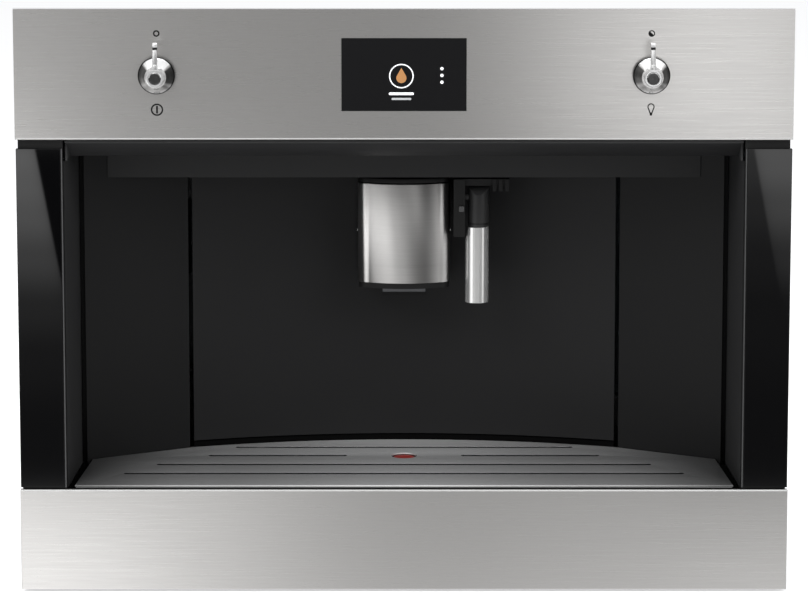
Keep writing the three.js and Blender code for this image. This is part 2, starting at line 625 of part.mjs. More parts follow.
function slots(xs, zs, width, height) {
  return xs.flatMap((x) => zs.map((z) => rectangle(x, z, x + width, z + height)));
}

const steps = (from, count, pitch) => Array.from({ length: count }, (_, i) => from + i * pitch);

function casingPieces() {
  const { halfWidth, lowHalfWidth, stepZ, front: near, back, top } = body;
  const behindPlate = frame.front + frame.plate + 0.4;
  const betweenBars = frame.halfWidth - frame.barWidth - 1;
  const panHalf = lowHalfWidth - 1.6;
  const displayHalf = controlPanel.displayWidth / 2 + 3;
  const pan = cut(
    block([-panHalf, panHalf], [behindPlate, back - 0.2], [-front.aboveBase, 14]),
    block([-panHalf + 1.5, panHalf - 1.5], [behindPlate + 1.5, back - 1.7], [-front.aboveBase + 1.5, 20]));
  const rearOutline = [
    [-lowHalfWidth + 0.2, -front.aboveBase], [lowHalfWidth - 0.2, -front.aboveBase],
    [lowHalfWidth - 0.2, stepZ - 1], [halfWidth, stepZ - 1], [halfWidth, top],
    [-halfWidth, top], [-halfWidth, stepZ - 1], [-lowHalfWidth + 0.2, stepZ - 1]];
  const rearHoles = [
    ...slots(steps(-60, 10, 14), [330, 368], 6, 30),
    rectangle(inlet.x[0] - 0.5, inlet.bottom - 0.5, inlet.x[1] + 0.5, inlet.top + 0.5)];
  const topHoles = [
    roundedRectangle(hopper.x[0] + 5, hopper.depth[0] + 5, hopper.x[1] - 5, hopper.depth[1] - 5, 8),
    roundedRectangle(funnel.x[0] + 3, funnel.depth[0] + 3, funnel.x[1] - 3, funnel.depth[1] - 3, 6),
    roundedRectangle(tank.x[0] - 4, tank.depth[0] - 4, tank.x[1] + 4, tank.depth[1] + 4, tank.corner + 4),
    circleOutline(-213, 160, 4.4),
    ...slots(steps(-60, 8, 16), [60, 100], 6, 30)];
  return [
    pieceMesh('base_pan', pan, 'zincSheet'),
    pieceMesh('side_panel_left', casingSide(-1), 'zincSheet'),
    pieceMesh('side_panel_right', casingSide(1), 'zincSheet'),
    pieceMesh('rear_panel', deep(rearOutline, back + gap, back + gap + 1.2, rearHoles), 'zincSheet'),
    pieceMesh('top_cover', upright(symmetric([
      [displayHalf, near], [displayHalf, behindPlate], [betweenBars, behindPlate], [betweenBars, near],
      [halfWidth, near], [halfWidth, back]]), top - 1.2, top, topHoles), 'zincSheet'),
  ];
}

// Bean, water and electrical pieces inside the casing

function beanHopper() {
  const { x, depth, outletX, outletDepth, bottom, top } = hopper;
  const bowl = (inset, lift) => loft([
    ring([outletX - 24 + inset, outletX + 24 - inset], [outletDepth - 24 + inset, outletDepth + 24 - inset],
      bottom + lift),
    ring([x[0] + inset, x[1] - inset], [depth[0] + inset, depth[1] - inset], top - 34),
    ring([x[0] + inset, x[1] - inset], [depth[0] + inset, depth[1] - inset], top + lift * 2)]);
  const shaft = (inset, lift) => loft([
    ring([funnel.x[0] + 6 + inset, funnel.x[1] - 6 - inset], [funnel.depth[0] + 10 + inset,
      funnel.depth[1] - 10 - inset], housing.top + 0.4 - lift),
    ring([funnel.x[0] + inset, funnel.x[1] - inset], [funnel.depth[0] + inset, funnel.depth[1] - inset], top - 34),
    ring([funnel.x[0] + inset, funnel.x[1] - inset], [funnel.depth[0] + inset, funnel.depth[1] - inset],
      top + lift)]);
  const rim = block([x[0] - 4, funnel.x[1] + 6], [depth[0] - 4, depth[1] + 4], [top - 2, top + 1.9]);
  return cut(join(bowl(0, 0), shaft(0, 0), rim), bowl(2.2, 2), shaft(2, 4),
    roundRod(18, [outletX, outletDepth, bottom - 1], [outletX, outletDepth, bottom + 6], 24));
}

function grinder() {
  const [x, y] = [hopper.outletX, hopper.outletDepth];
  return join(
    roundRod(34, [x, y, 206], [x, y, 300]), roundRod(41, [x, y, 296], [x, y, 334]),
    roundRod(22, [x, y, 330], [x, y, hopper.bottom - gap]),
    block([x + 20, -housing.halfWidth - gap], [y - 12, y + 12], [270, 292]));
}

function thermoblock() {
  const fins = steps(208, 9, 14).map((y) => block([-262, -180], [y, y + 4], [24, 116]));
  return join(block([-254, -188], [204, 330], [30, 110]), ...fins,
    ...[-250, -200].map((x) => block([x, x + 8], [212, 322], [-0.2, 32])));
}

function pump() {
  return join(roundRod(24, [212, 226, 34], [212, 300, 34]), roundRod(16, [212, 296, 34], [212, 322, 34]),
    roundRod(5, [212, 318, 34], [212, 340, 34], 16), block([190, 234], [236, 290], [-0.2, 20]));
}

function tankOutline(inset) {
  return roundedRectangle(tank.x[0] + inset, tank.depth[0] + inset, tank.x[1] - inset, tank.depth[1] - inset,
    tank.corner - inset);
}

function waterTank() {
  const { bottom, top, wall } = tank;
  const middle = [(tank.x[0] + tank.x[1]) / 2, (tank.depth[0] + tank.depth[1]) / 2];
  const valve = roundRod(9, [...middle, bottom - 8], [...middle, bottom + 1], 20);
  const hingeLug = block([205, 225], [tank.depth[1] - wall - 1, tank.depth[1]], [top - 6, top]);
  return join(cut(upright(tankOutline(0), bottom, top), upright(tankOutline(wall), bottom + wall, top + 1)),
    valve, hingeLug);
}

function tankSeat() {
  const [x, y] = [tank.x, tank.depth];
  const shelf = cut(block([x[0] - 8, x[1] + 6], [y[0] - 4, y[1] + 10], [88, tank.bottom - gap]),
    block([x[0] - 4, x[1] + 2], [y[0], y[1] + 2], [92, tank.bottom - 7]),
    roundRod(10, [(x[0] + x[1]) / 2, (y[0] + y[1]) / 2, 100], [(x[0] + x[1]) / 2, (y[0] + y[1]) / 2, 120], 20));
  const legs = [[x[0] - 4, y[0]], [x[1] - 12, y[0]], [x[0] - 4, y[1] - 4], [x[1] - 12, y[1] - 4]].map(([a, b]) =>
    block([a, a + 10], [b, b + 10], [-0.2, 90]));
  return join(shelf, ...legs);
}

function hingedLid(x, y, z, thickness) {
  const middle = (x[0] + x[1]) / 2;
  const width = Math.min(24, (x[1] - x[0]) / 2);
  const barrel = roundRod(2.2, [middle - width / 2, y[1] + 4, z + 2.6], [middle + width / 2, y[1] + 4, z + 2.6], 16);
  const tab = block([middle - width / 2, middle + width / 2], [y[1] - 1, y[1] + 4], [z + 1, z + thickness]);
  const recess = block([middle - 12, middle + 12], [y[0] - 1, y[0] + 6], [z + 1.4, z + thickness + 1]);
  return join(cut(upright(roundedRectangle(x[0], y[0], x[1], y[1], 6), z, z + thickness), recess), tab, barrel);
}

function grindDial() {
  const lobes = 24;
  const outline = Array.from({ length: lobes * 2 }, (_, i) => {
    const angle = (i / (lobes * 2)) * 2 * Math.PI;
    const radius = i % 2 ? 16.2 : 17;
    return [-213 + radius * Math.cos(angle), 160 + radius * Math.sin(angle)];
  });
  return join(upright(outline, body.top + 0.5, body.top + 8),
    upright(circleOutline(-213, 160, 14), body.top + 7.9, body.top + 9.5),
    block([-214, -212], [146, 160], [body.top + 9.4, body.top + 10.5]),
    roundRod(3.9, [-213, 160, body.top - 14], [-213, 160, body.top + 1], 16));
}

// The mains inlet with its switch well, in one moulding
function mainsInlet() {
  const { x: [x0, x1], front: near, bottom, top } = inlet;
  const middle = (x0 + x1) / 2;
  const face = body.back + 1.8;
  const flange = deep(roundedRectangle(x0 - 5, bottom - 5, x1 + 5, top + 5, 4), face - 0.1, face + 1.7);
  const socket = deep(roundedRectangle(x0 + 3, bottom + 3, x1 - 3, bottom + 19, 3), near + 3, face + 5);
  const switchWell = block([x0 + 3, x1 - 3], [near + 3, face + 5], [bottom + 27, top - 3]);
  const pins = [-6, 0, 6].map((offset) => {
    const foot = bottom + (offset ? 8 : 11);
    return block([middle + offset - 1, middle + offset + 1], [near + 1, face - 2], [foot, foot + 4]);
  });
  return join(cut(join(block([x0, x1], [near, face], [bottom, top]), flange), socket, switchWell), ...pins);
}

function rocker() {
  const axis = body.back - 1;
  const outline = [[axis - 5, -4], [axis + 1, -9], [axis + 5.4, -9], [axis + 3.6, 0], [axis + 5.4, 9],
    [axis + 1, 9], [axis - 5, 4]];
  return across(outline, inlet.x[0] + 3.6, inlet.x[1] - 3.6).translate([0, 0, inlet.rockerZ]);
}

// Telescopic runners, drawn in the cabinet's frame: y and z from the machine's base and middle

function runnerMember(side, webX, flangeX, low, high, lip) {
  const half = runner.sheet / 2;
  const inward = Math.sign(webX - flangeX);
  const line = [[flangeX, low + half], [webX - half * inward, low + half], [webX - half * inward, high - half],
    [flangeX, high - half]];
  if (lip) {
    line.unshift([flangeX + half * inward, low + lip]);
    line[1][0] = flangeX + half * inward;
    line[4][0] = flangeX + half * inward;
    line.push([flangeX + half * inward, high - lip]);
  }
  const outline = folded(line, runner.sheet);
  const { front: near, length } = runner;
  return deep(side < 0 ? mirrored(outline) : outline, near, near + length);
}

function runnerPieces(name, side) {
  const { outerX, bottom, height } = runner;
  return {
    outer: pieceMesh(`runner_outer_${name}`,
      runnerMember(side, outerX, outerX - 11.2, bottom, bottom + height, 4), 'runnerSteel'),
    middle: pieceMesh(`runner_middle_${name}`,
      runnerMember(side, outerX - 3.4, outerX - 9.4, bottom + 4, bottom + height - 4, 0), 'runnerSteel'),
    inner: pieceMesh(`runner_inner_${name}`,
      runnerMember(side, outerX - 12.7, outerX - 6.6, bottom + 9, bottom + height - 9, 0), 'runnerSteel'),
  };
}

// Assembly

const machine = new THREE.Group();
machine.position.set(0, -front.depthToOrigin, front.aboveBase);
const topLids = [
  ['bean_lid', [-257, -115], [195, 341]],
  ['funnel_lid', [-94, -50], [219, 271]],
];
const spoutParts = spoutPieces();
machine.add(
  ...frontPieces(), leverKnob('left'), leverKnob('right'), ...nichePieces(),
  pieceMesh('cup_grid', cupGrid(), 'darkSteel'),
  pieceMesh('drip_tray', dripTray(), 'greyPlastic'),
  pieceMesh('tray_float', trayFloat(), 'signalRed'),
  pieceMesh('door_skin', doorSkin(), 'nicheLiner'),
  pieceMesh('door_inner_frame', doorInnerFrame(), 'blackPlastic'),
  ...Object.values(spoutParts),
  pieceMesh('wand_bracket', wandBracket(), 'blackPlastic'), ...wandPieces(),
  pieceMesh('brew_housing', brewHousing(), 'greyPlastic'),
  pieceMesh('brewing_unit', brewingUnit(), 'blackPlastic'),
  pieceMesh('grounds_container', groundsContainer(), 'greyPlastic'),
  ...casingPieces(),
  pieceMesh('bean_hopper', beanHopper(), 'blackPlastic'),
  pieceMesh('grinder', grinder(), 'greyPlastic'),
  ...topLids.map(([name, x, depth]) => pieceMesh(name, hingedLid(x, depth, body.top + gap + 0.1, 3), 'blackPlastic')),
  pieceMesh('grind_dial', grindDial(), 'greyPlastic'),
  pieceMesh('thermoblock', thermoblock(), 'castAluminium'),
  pieceMesh('pump', pump(), 'castAluminium'),
  pieceMesh('water_tank', waterTank(), 'clearPlastic'),
  pieceMesh('tank_lid', hingedLid([170, 260], [210, 352], tank.top + gap, 3), 'greyPlastic'),
  pieceMesh('tank_seat', tankSeat(), 'greyPlastic'),
  pieceMesh('mains_inlet', mainsInlet(), 'blackPlastic'),
  pieceMesh('main_switch', rocker(), 'blackPlastic'),
);

const product = new THREE.Group();
product.add(machine);
for (const [name, side] of [['left', -1], ['right', 1]]) {
  product.add(...Object.values(runnerPieces(name, side)));
}

export default product;
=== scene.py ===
import json
import math

import bmesh
import bpy
from mathutils import Matrix, Vector

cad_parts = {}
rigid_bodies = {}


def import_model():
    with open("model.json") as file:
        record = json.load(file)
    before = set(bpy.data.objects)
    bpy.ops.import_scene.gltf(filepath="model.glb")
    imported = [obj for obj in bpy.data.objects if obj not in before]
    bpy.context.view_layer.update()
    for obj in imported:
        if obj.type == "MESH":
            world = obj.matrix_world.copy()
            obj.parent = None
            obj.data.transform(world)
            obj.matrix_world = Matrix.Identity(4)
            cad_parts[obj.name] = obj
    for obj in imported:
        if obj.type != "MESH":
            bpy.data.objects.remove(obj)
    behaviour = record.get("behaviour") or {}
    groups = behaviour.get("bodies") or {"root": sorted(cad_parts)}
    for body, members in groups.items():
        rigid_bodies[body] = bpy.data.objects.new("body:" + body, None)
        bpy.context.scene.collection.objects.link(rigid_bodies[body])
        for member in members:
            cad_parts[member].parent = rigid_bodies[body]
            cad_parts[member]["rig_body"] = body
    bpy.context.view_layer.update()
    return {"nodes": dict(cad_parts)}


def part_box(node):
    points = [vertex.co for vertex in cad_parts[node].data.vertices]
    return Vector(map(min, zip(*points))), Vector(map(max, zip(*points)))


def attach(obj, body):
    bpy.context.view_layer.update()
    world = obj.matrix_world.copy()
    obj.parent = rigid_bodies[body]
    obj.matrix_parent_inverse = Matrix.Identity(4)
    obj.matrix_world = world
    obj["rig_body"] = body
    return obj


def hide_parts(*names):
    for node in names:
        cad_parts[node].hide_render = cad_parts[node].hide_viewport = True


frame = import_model()
scene = bpy.context.scene
mm = 0.001
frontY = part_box("control_panel")[0].y    # the front panels' outer face
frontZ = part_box("lower_panel")[0].z    # the front's lower edge
print("frame loaded:", len(frame["nodes"]), "nodes")


def at(x, depth, height):    # millimetres in the front's own frame, to metres
    return Vector((x * mm, frontY + depth * mm, frontZ + height * mm))


# ---- node helpers

def newGroup(name, inputs, outputs):    # one, three or four numbers make a float, vector or colour input
    tree = bpy.data.node_groups.new(name, "ShaderNodeTree")
    for label, value in inputs.items():
        kind = "Float" if isinstance(value, (int, float)) else {3: "Vector", 4: "Color"}[len(value)]
        socket = tree.interface.new_socket(label, in_out="INPUT", socket_type=f"NodeSocket{kind}")
        socket.default_value = value
    for label, kind in outputs.items():
        tree.interface.new_socket(label, in_out="OUTPUT", socket_type=f"NodeSocket{kind}")
    return tree, tree.nodes.new("NodeGroupInput").outputs, tree.nodes.new("NodeGroupOutput")


def connect(socket, value):    # links a socket, or sets its constant
    if isinstance(value, bpy.types.NodeSocket):
        socket.id_data.links.new(value, socket)
    elif value is not None:
        socket.default_value = (*value, 1) if socket.type == "RGBA" else value


def fill(node, **values):    # Rough_Low stands for the input Rough Low
    for label, value in values.items():
        connect(node.inputs[label.replace("_", " ")], value)
    return node


def addNode(tree, kind, operation=None, inputs=(), **values):
    node = tree.nodes.new(kind)
    if operation:
        node.operation = operation
    for socket, value in zip(node.inputs, inputs):
        connect(socket, value)
    return fill(node, **values)


def mathNode(operation, first, second=None, clamp=False):    # in the tree that the first socket is in
    node = addNode(first.id_data, "ShaderNodeMath", operation, (first, second))
    node.use_clamp = clamp
    return node.outputs["Value"]


def times(first, second):
    return mathNode("MULTIPLY", first, second)


def plus(first, second):
    return mathNode("ADD", first, second)


def mixColors(factor, first, second):
    node = factor.id_data.nodes.new("ShaderNodeMix")
    node.data_type = "RGBA"
    for index, value in ((0, factor), (6, first), (7, second)):
        connect(node.inputs[index], value)
    return node.outputs[2]


def mapRange(value, fromLow=0, fromHigh=1, toLow=0, toHigh=1, smooth=False):
    node = addNode(value.id_data, "ShaderNodeMapRange", Value=value, From_Min=fromLow, From_Max=fromHigh,
                   To_Min=toLow, To_Max=toHigh)
    if smooth:
        node.interpolation_type = "SMOOTHSTEP"
    return node.outputs["Result"]


def noiseNode(vector, scale, detail=2, roughness=0.5):
    node = addNode(vector.id_data, "ShaderNodeTexNoise", Vector=vector, Scale=scale, Detail=detail,
                   Roughness=roughness)
    return node.outputs["Fac"]


def scaled(color, factor):
    node = addNode(color.id_data, "ShaderNodeVectorMath", "SCALE", Vector=color, Scale=factor)
    return node.outputs["Vector"]


def placed(name, data):    # a new object in the scene
    thing = bpy.data.objects.new(name, data)
    scene.collection.objects.link(thing)
    return thing


def newSurface(name):    # a material and its node tree
    surface = bpy.data.materials.new(name)
    surface.use_nodes = True
    return surface, surface.node_tree


# ---- camera, lights and floor

camera = {"lens": 167.1, "distance": 2.85, "eyeHeight": 0.74, "pitch": 8.9, "shiftY": -0.1}
studio = {
    "worldColor": (0.86, 0.87, 0.89), "worldStrength": 0.62,
    "steepGloss": 1.1, "steepFrom": -0.45, "steepTo": -0.8,    # for gloss, more light from straight below
    "floorColor": (0.93, 0.93, 0.93), "floorSize": 14, "floorLift": 0.42,
    "keyPower": 34, "keySize": 1.6, "topPower": 30, "topSize": 1.8, "aim": (0, -0.1, 0.2),
}


def makeCamera():
    data = bpy.data.cameras.new("photoCamera")
    data.lens = camera["lens"]
    data.sensor_width = 36
    data.shift_y = camera["shiftY"]
    data.clip_start, data.clip_end = 0.05, 60
    seen = placed("photoCamera", data)
    seen.location = (0, frontY - camera["distance"], camera["eyeHeight"])
    seen.rotation_euler = (math.radians(90 - camera["pitch"]), 0, 0)
    scene.camera = seen


def areaLight(name, place, target, size, power):
    data = bpy.data.lights.new(name, "AREA")
    data.shape = "RECTANGLE"
    data.size, data.size_y = size
    data.energy = power
    lamp = placed(name, data)
    lamp.location = place
    lamp.rotation_euler = (Vector(target) - Vector(place)).to_track_quat("-Z", "Y").to_euler()
    lamp.visible_camera = False


def splitView(path, unseen, seen):    # one shader for the camera, another for all other rays
    fac = path.outputs["Is Camera Ray"]
    return addNode(path.id_data, "ShaderNodeMixShader", inputs=(fac, unseen, seen)).outputs["Shader"]


def makeWorld():
    world = bpy.data.worlds.new("studioWorld")
    scene.world = world
    world.use_nodes = True
    tree = world.node_tree
    tree.nodes.clear()
    view = tree.nodes.new("ShaderNodeTexCoord").outputs["Generated"]
    tilt = addNode(tree, "ShaderNodeSeparateXYZ", Vector=view).outputs["Z"]
    steep = mapRange(tilt, studio["steepFrom"], studio["steepTo"], 0, studio["steepGloss"])
    path = tree.nodes.new("ShaderNodeLightPath")
    strength = plus(times(steep, path.outputs["Is Glossy Ray"]), studio["worldStrength"])
    lit = addNode(tree, "ShaderNodeBackground", Color=studio["worldColor"], Strength=strength)
    seen = addNode(tree, "ShaderNodeBackground", Color=(1, 1, 1))
    both = splitView(path, lit.outputs["Background"], seen.outputs["Background"])
    addNode(tree, "ShaderNodeOutputWorld", Surface=both)


def makeFloor():
    size = studio["floorSize"] / 2
    mesh = bpy.data.meshes.new("studioFloor")
    mesh.from_pydata([(-size, -size, 0), (size, -size, 0), (size, size, 0), (-size, size, 0)], [],
                     [(0, 1, 2, 3)])
    floor = placed("studioFloor", mesh)
    surface, tree = newSurface("studioFloor")
    shader = fill(tree.nodes["Principled BSDF"], Base_Color=studio["floorColor"], Roughness=0.9,
                  Specular_IOR_Level=0).outputs["BSDF"]
    lift = addNode(tree, "ShaderNodeEmission", Strength=studio["floorLift"])    # white, with its shadow kept
    lifted = addNode(tree, "ShaderNodeAddShader", inputs=(shader, lift.outputs["Emission"]))
    path = tree.nodes.new("ShaderNodeLightPath")
    fill(tree.nodes["Material Output"], Surface=splitView(path, shader, lifted.outputs["Shader"]))
    mesh.materials.append(surface)
    floor.visible_glossy = False


# A card that only gloss and metal see: it gives the steel its slow light and dark, and the glass its slanting
# gleam. Each band is tones along x; bandEdges are the heights where one band gives way to the next
reflector = {
    "distance": 0.62, "halfWidth": 1.5, "low": -0.9, "high": 1.25, "coarse": 0.03, "fine": 0.001,
    "fineAcross": ((-0.41, -0.27), (0.26, 0.41)), "fineUpwards": ((-0.09, 0.3),),
    "bandEdges": (-0.02, 0.25), "bandSoftness": 0.035,
    "lower": ((-1.5, 0.9), (-0.6, 1.3), (-0.3, 1.68), (-0.18, 0.92), (-0.05, 0.48), (0.05, 0.48),
              (0.2, 0.66), (0.35, 0.9), (0.6, 0.6), (1.5, 0.6)),
    "middle": ((-1.5, 1.2), (-1.17, 1.1), (-0.7, 1.9), (-0.5, 1.6), (-0.24, 0.75), (0, 0.42), (0.3, 0.2),
               (0.44, 0.12), (0.7, 0.35), (0.95, 1.2), (1.5, 1.2)),
    "upper": ((-1.5, 0.7), (-0.5, 0.6), (-0.34, 0.46), (-0.15, 0.38), (0, 0.33), (0.1, 0.36), (0.2, 0.78),
              (0.29, 1), (0.37, 0.62), (0.5, 0.4), (1.5, 0.5)),
    "glow": (0.235, 0.285, 0.07, 0.9),    # x, height, reach, strength of a patch by the panel's lower edge
    "above": 1.3, "aboveFrom": 0.75, "below": 1.3, "belowFrom": -0.25,
    "glassFrom": 0.275, "glassTo": 0.4, "glassLow": -0.07, "glassHigh": 0.27, "glassSoftness": 0.004,
    # what the side glass shows: tones by height on both sides of a slanting line, given by its x and slope
    "leftSlant": (0.345, -0.184), "rightSlant": (0.327, 0.19), "slantHeight": 0.265,
    "leftDark": ((0, 0.03), (0.3, 0.03)),
    "leftGleam": ((0, 0.1), (0.068, 0.2), (0.115, 0.42), (0.163, 1.18), (0.201, 2.03), (0.23, 2.5),
                  (0.27, 3.1)),
    "rightDark": ((0, 0.08), (0.115, 0.14), (0.163, 0.22), (0.211, 0.4), (0.249, 0.64), (0.27, 0.75)),
    "rightGleam": ((0, 0.08), (0.115, 0.18), (0.163, 0.58), (0.211, 1.4), (0.249, 2.2), (0.27, 2.6)),
    "gleamEdge": 0.0003, "gleamShade": 0.3, "shadeReach": 0.004,
}


def alongBand(key, x):
    spots = reflector[key]
    for (x0, tone0), (x1, tone1) in zip(spots, spots[1:]):
        if x <= x1:
            share = min(max((x - x0) / (x1 - x0), 0), 1)
            return tone0 + (tone1 - tone0) * share * share * (3 - 2 * share)
    return spots[-1][1]


def stepUp(value, edge, softness):
    return 1 / (1 + math.exp(-max(min((value - edge) / softness, 40), -40)))


def reflectorTone(x, z):
    middle, upper = (stepUp(z, edge, reflector["bandSoftness"] / 3) for edge in reflector["bandEdges"])
    shares = {"lower": 1 - middle, "middle": middle - upper, "upper": upper}
    tone = sum(alongBand(key, x) * share for key, share in shares.items())
    glowX, glowZ, reach, strength = reflector["glow"]
    tone += strength * upper * math.exp(-((x - glowX) ** 2 + (z - glowZ) ** 2) / reach ** 2)
    soft = reflector["glassSoftness"]
    glass = stepUp(abs(x), reflector["glassFrom"], soft) * stepUp(-abs(x), -reflector["glassTo"], soft)
    glass *= stepUp(z, reflector["glassLow"], soft * 2) * (1 - stepUp(z, reflector["glassHigh"], soft))
    side = "left" if x < 0 else "right"
    slantX, slope = reflector[f"{side}Slant"]
    beyond = abs(x) - slantX - slope * (reflector["slantHeight"] - z)
    lit = stepUp(beyond, 0, reflector["gleamEdge"])
    shade = 1 - reflector["gleamShade"] * math.exp(-max(beyond, 0) / reflector["shadeReach"])
    dark, bright = alongBand(f"{side}Dark", z), alongBand(f"{side}Gleam", z) * shade
    tone = tone * (1 - glass) + (dark + (bright - dark) * lit) * glass
    above, below = stepUp(z, reflector["aboveFrom"], 0.03), stepUp(-z, -reflector["belowFrom"], 0.02)
    return tone * (1 - above) * (1 - below) + reflector["above"] * above + reflector["below"] * below


def spaced(low, high, coarse, fine, near):  # positions, closer together in the stretches given by near
    positions = [low]
    while positions[-1] < high:
        close = any(start <= positions[-1] < end for start, end in near)
        positions.append(positions[-1] + (fine if close else coarse))
    return positions


def makeReflector():
    y = frontY - reflector["distance"]
    coarse, fine, width = reflector["coarse"], reflector["fine"], reflector["halfWidth"]
    across = spaced(-width, width, coarse, fine, reflector["fineAcross"])
    upwards = spaced(reflector["low"], reflector["high"], coarse, fine * 4, reflector["fineUpwards"])
    points = [(x, y, z) for z in upwards for x in across]
    count = len(across)
    faces = [(first, first + 1, first + count + 1, first + count)
             for line in range(len(upwards) - 1) for first in range(line * count, (line + 1) * count - 1)]
    mesh = bpy.data.meshes.new("reflector")
    mesh.from_pydata(points, [], faces)
    tone = mesh.attributes.new("tone", "FLOAT", "POINT")
    for index, (x, y, z) in enumerate(points):
        tone.data[index].value = reflectorTone(x, z)
    card = placed("reflector", mesh)
    surface, tree = newSurface("reflector")
    tree.nodes.remove(tree.nodes["Principled BSDF"])
    read = tree.nodes.new("ShaderNodeAttribute")
    read.attribute_name = "tone"
    glow = addNode(tree, "ShaderNodeEmission", Strength=read.outputs["Fac"])
    fill(tree.nodes["Material Output"], Surface=glow.outputs["Emission"])
    mesh.materials.append(surface)
    card.visible_camera = card.visible_diffuse = card.visible_shadow = card.visible_transmission = False


scene.view_settings.view_transform = "Standard"
makeCamera()
makeWorld()
makeFloor()
makeReflector()
areaLight("keyLight", (-1.5, -2.1, 2), studio["aim"], (studio["keySize"], 1.2), studio["keyPower"])
areaLight("fillLight", (1.7, -1.9, 1.5), studio["aim"], (studio["keySize"], 1.2), studio["keyPower"] * 0.7)
areaLight("topLight", (0, 0.2, 2.4), (0, 0, 0.2), (studio["topSize"], 1.4), studio["topPower"])
print("studio ready")


# ---- shader groups that several materials share

origin = (0, 0, 0)
colorOnly = {"Color": "Color"}
grained = {"Color": "Color", "Roughness": "Float", "Height": "Float"}


# Drawn grain: noise stretched along one axis. Stretch is how much finer it is across each axis
def makeBrushedGroup():
    tree, given, made = newGroup("brushedGrain", {
        "Vector": origin, "Stretch": (1, 60, 60), "Light": (0.8, 0.8, 0.8, 1),
        "Dark": (0.6, 0.6, 0.6, 1), "Rough Low": 0.25, "Rough High": 0.4}, grained)
    stretch = addNode(tree, "ShaderNodeVectorMath", "MULTIPLY", (given["Vector"], given["Stretch"]))
    fine = noiseNode(stretch.outputs["Vector"], 34, 3, 0.65)
    coarse = noiseNode(stretch.outputs["Vector"], 7)
    tone = mapRange(plus(times(fine, 0.8), times(coarse, 0.2)), 0.3, 0.7)
    rough = mapRange(tone, toLow=given["Rough High"], toHigh=given["Rough Low"])
    fill(made, Color=mixColors(tone, given["Dark"], given["Light"]), Roughness=rough, Height=tone)
    return tree


# Moulded or lacquered skin: fine pebble, soft clouds in the colour, and paler edges, which are a painted
# highlight
def makeSkinGroup():
    tree, given, made = newGroup("mouldedSkin", {
        "Vector": origin, "Color": (0.05, 0.05, 0.05, 1), "Edge Color": (0.12, 0.12, 0.12, 1),
        "Grain": 900, "Roughness": 0.5, "Cloud": 0.12}, grained)
    cloud = noiseNode(given["Vector"], 9, 3, 0.6)
    pebble = noiseNode(given["Vector"], given["Grain"], 1)
    shape = tree.nodes.new("ShaderNodeNewGeometry")
    edge = mapRange(shape.outputs["Pointiness"], 0.515, 0.57)
    signed = times(mathNode("SUBTRACT", cloud, 0.5), given["Cloud"])
    clouded = scaled(given["Color"], plus(signed, 1))
    edgeHighlighted = mixColors(times(edge, 0.5), clouded, given["Edge Color"])
    rough = mathNode("ADD", given["Roughness"], times(signed, 0.6), clamp=True)
    fill(made, Color=edgeHighlighted, Roughness=rough, Height=pebble)
    return tree


# Painted reflections: a slow drift of five tones across the steel, from the left edge over the middle to the
# right, paints its light and dark into the colour
def makePaintedSheenGroup():
    tree, given, made = newGroup("toneDrift", {
        "Vector": origin, "Color": (0.7, 0.7, 0.7, 1), "Half Width": 0.3,
        **{f"Tone {number}": 1 for number in range(1, 6)}}, colorOnly)
    split = addNode(tree, "ShaderNodeSeparateXYZ", Vector=given["Vector"])
    place = mathNode("DIVIDE", split.outputs["X"], given["Half Width"])
    tone = given["Tone 1"]
    for number in range(1, 5):
        share = mapRange(place, number / 2 - 1.5, number / 2 - 1, smooth=True)
        change = mathNode("SUBTRACT", given[f"Tone {number + 1}"], given[f"Tone {number}"])
        tone = plus(tone, times(change, share))
    fill(made, Color=scaled(given["Color"], tone))
    return tree


# Painted light and shade: one slow change of tone along a direction, from Start to End, such as the painted
# light that makes the tray paler towards its back and the painted shade that darkens the spout towards its
# bottom
def makePaintedFadeGroup():
    tree, given, made = newGroup("toneFade", {
        "Vector": origin, "Color": (0.7, 0.7, 0.7, 1), "Along": (0, 0, 1),
        "Start": 0, "End": 1, "Tone": 1}, colorOnly)
    along = addNode(tree, "ShaderNodeVectorMath", "DOT_PRODUCT", (given["Vector"], given["Along"]))
    change = mapRange(along.outputs["Value"], given["Start"], given["End"], 1, given["Tone"])
    fill(made, Color=scaled(given["Color"], change))
    return tree


# Painted highlights and reflections: fans of light and dark in the colour round a lathe-turned cone, with a
# darkened rim and a pale hub; the centre is a knob's axis
paintedFanTones = (
    (0, 0.06), (0.06, 0.1), (0.1, 0.45), (0.14, 0.28), (0.2, 0.55), (0.25, 0.62), (0.33, 0.5), (0.37, 0.16),
    (0.4, 0.42), (0.43, 0.06), (0.5, 0.03), (0.585, 0.04), (0.62, 0.92), (0.66, 1), (0.84, 1),
    (0.875, 0.85), (0.9, 0.08), (1, 0.06))
turnedEdge = 4000    # how sharply rim and hub begin


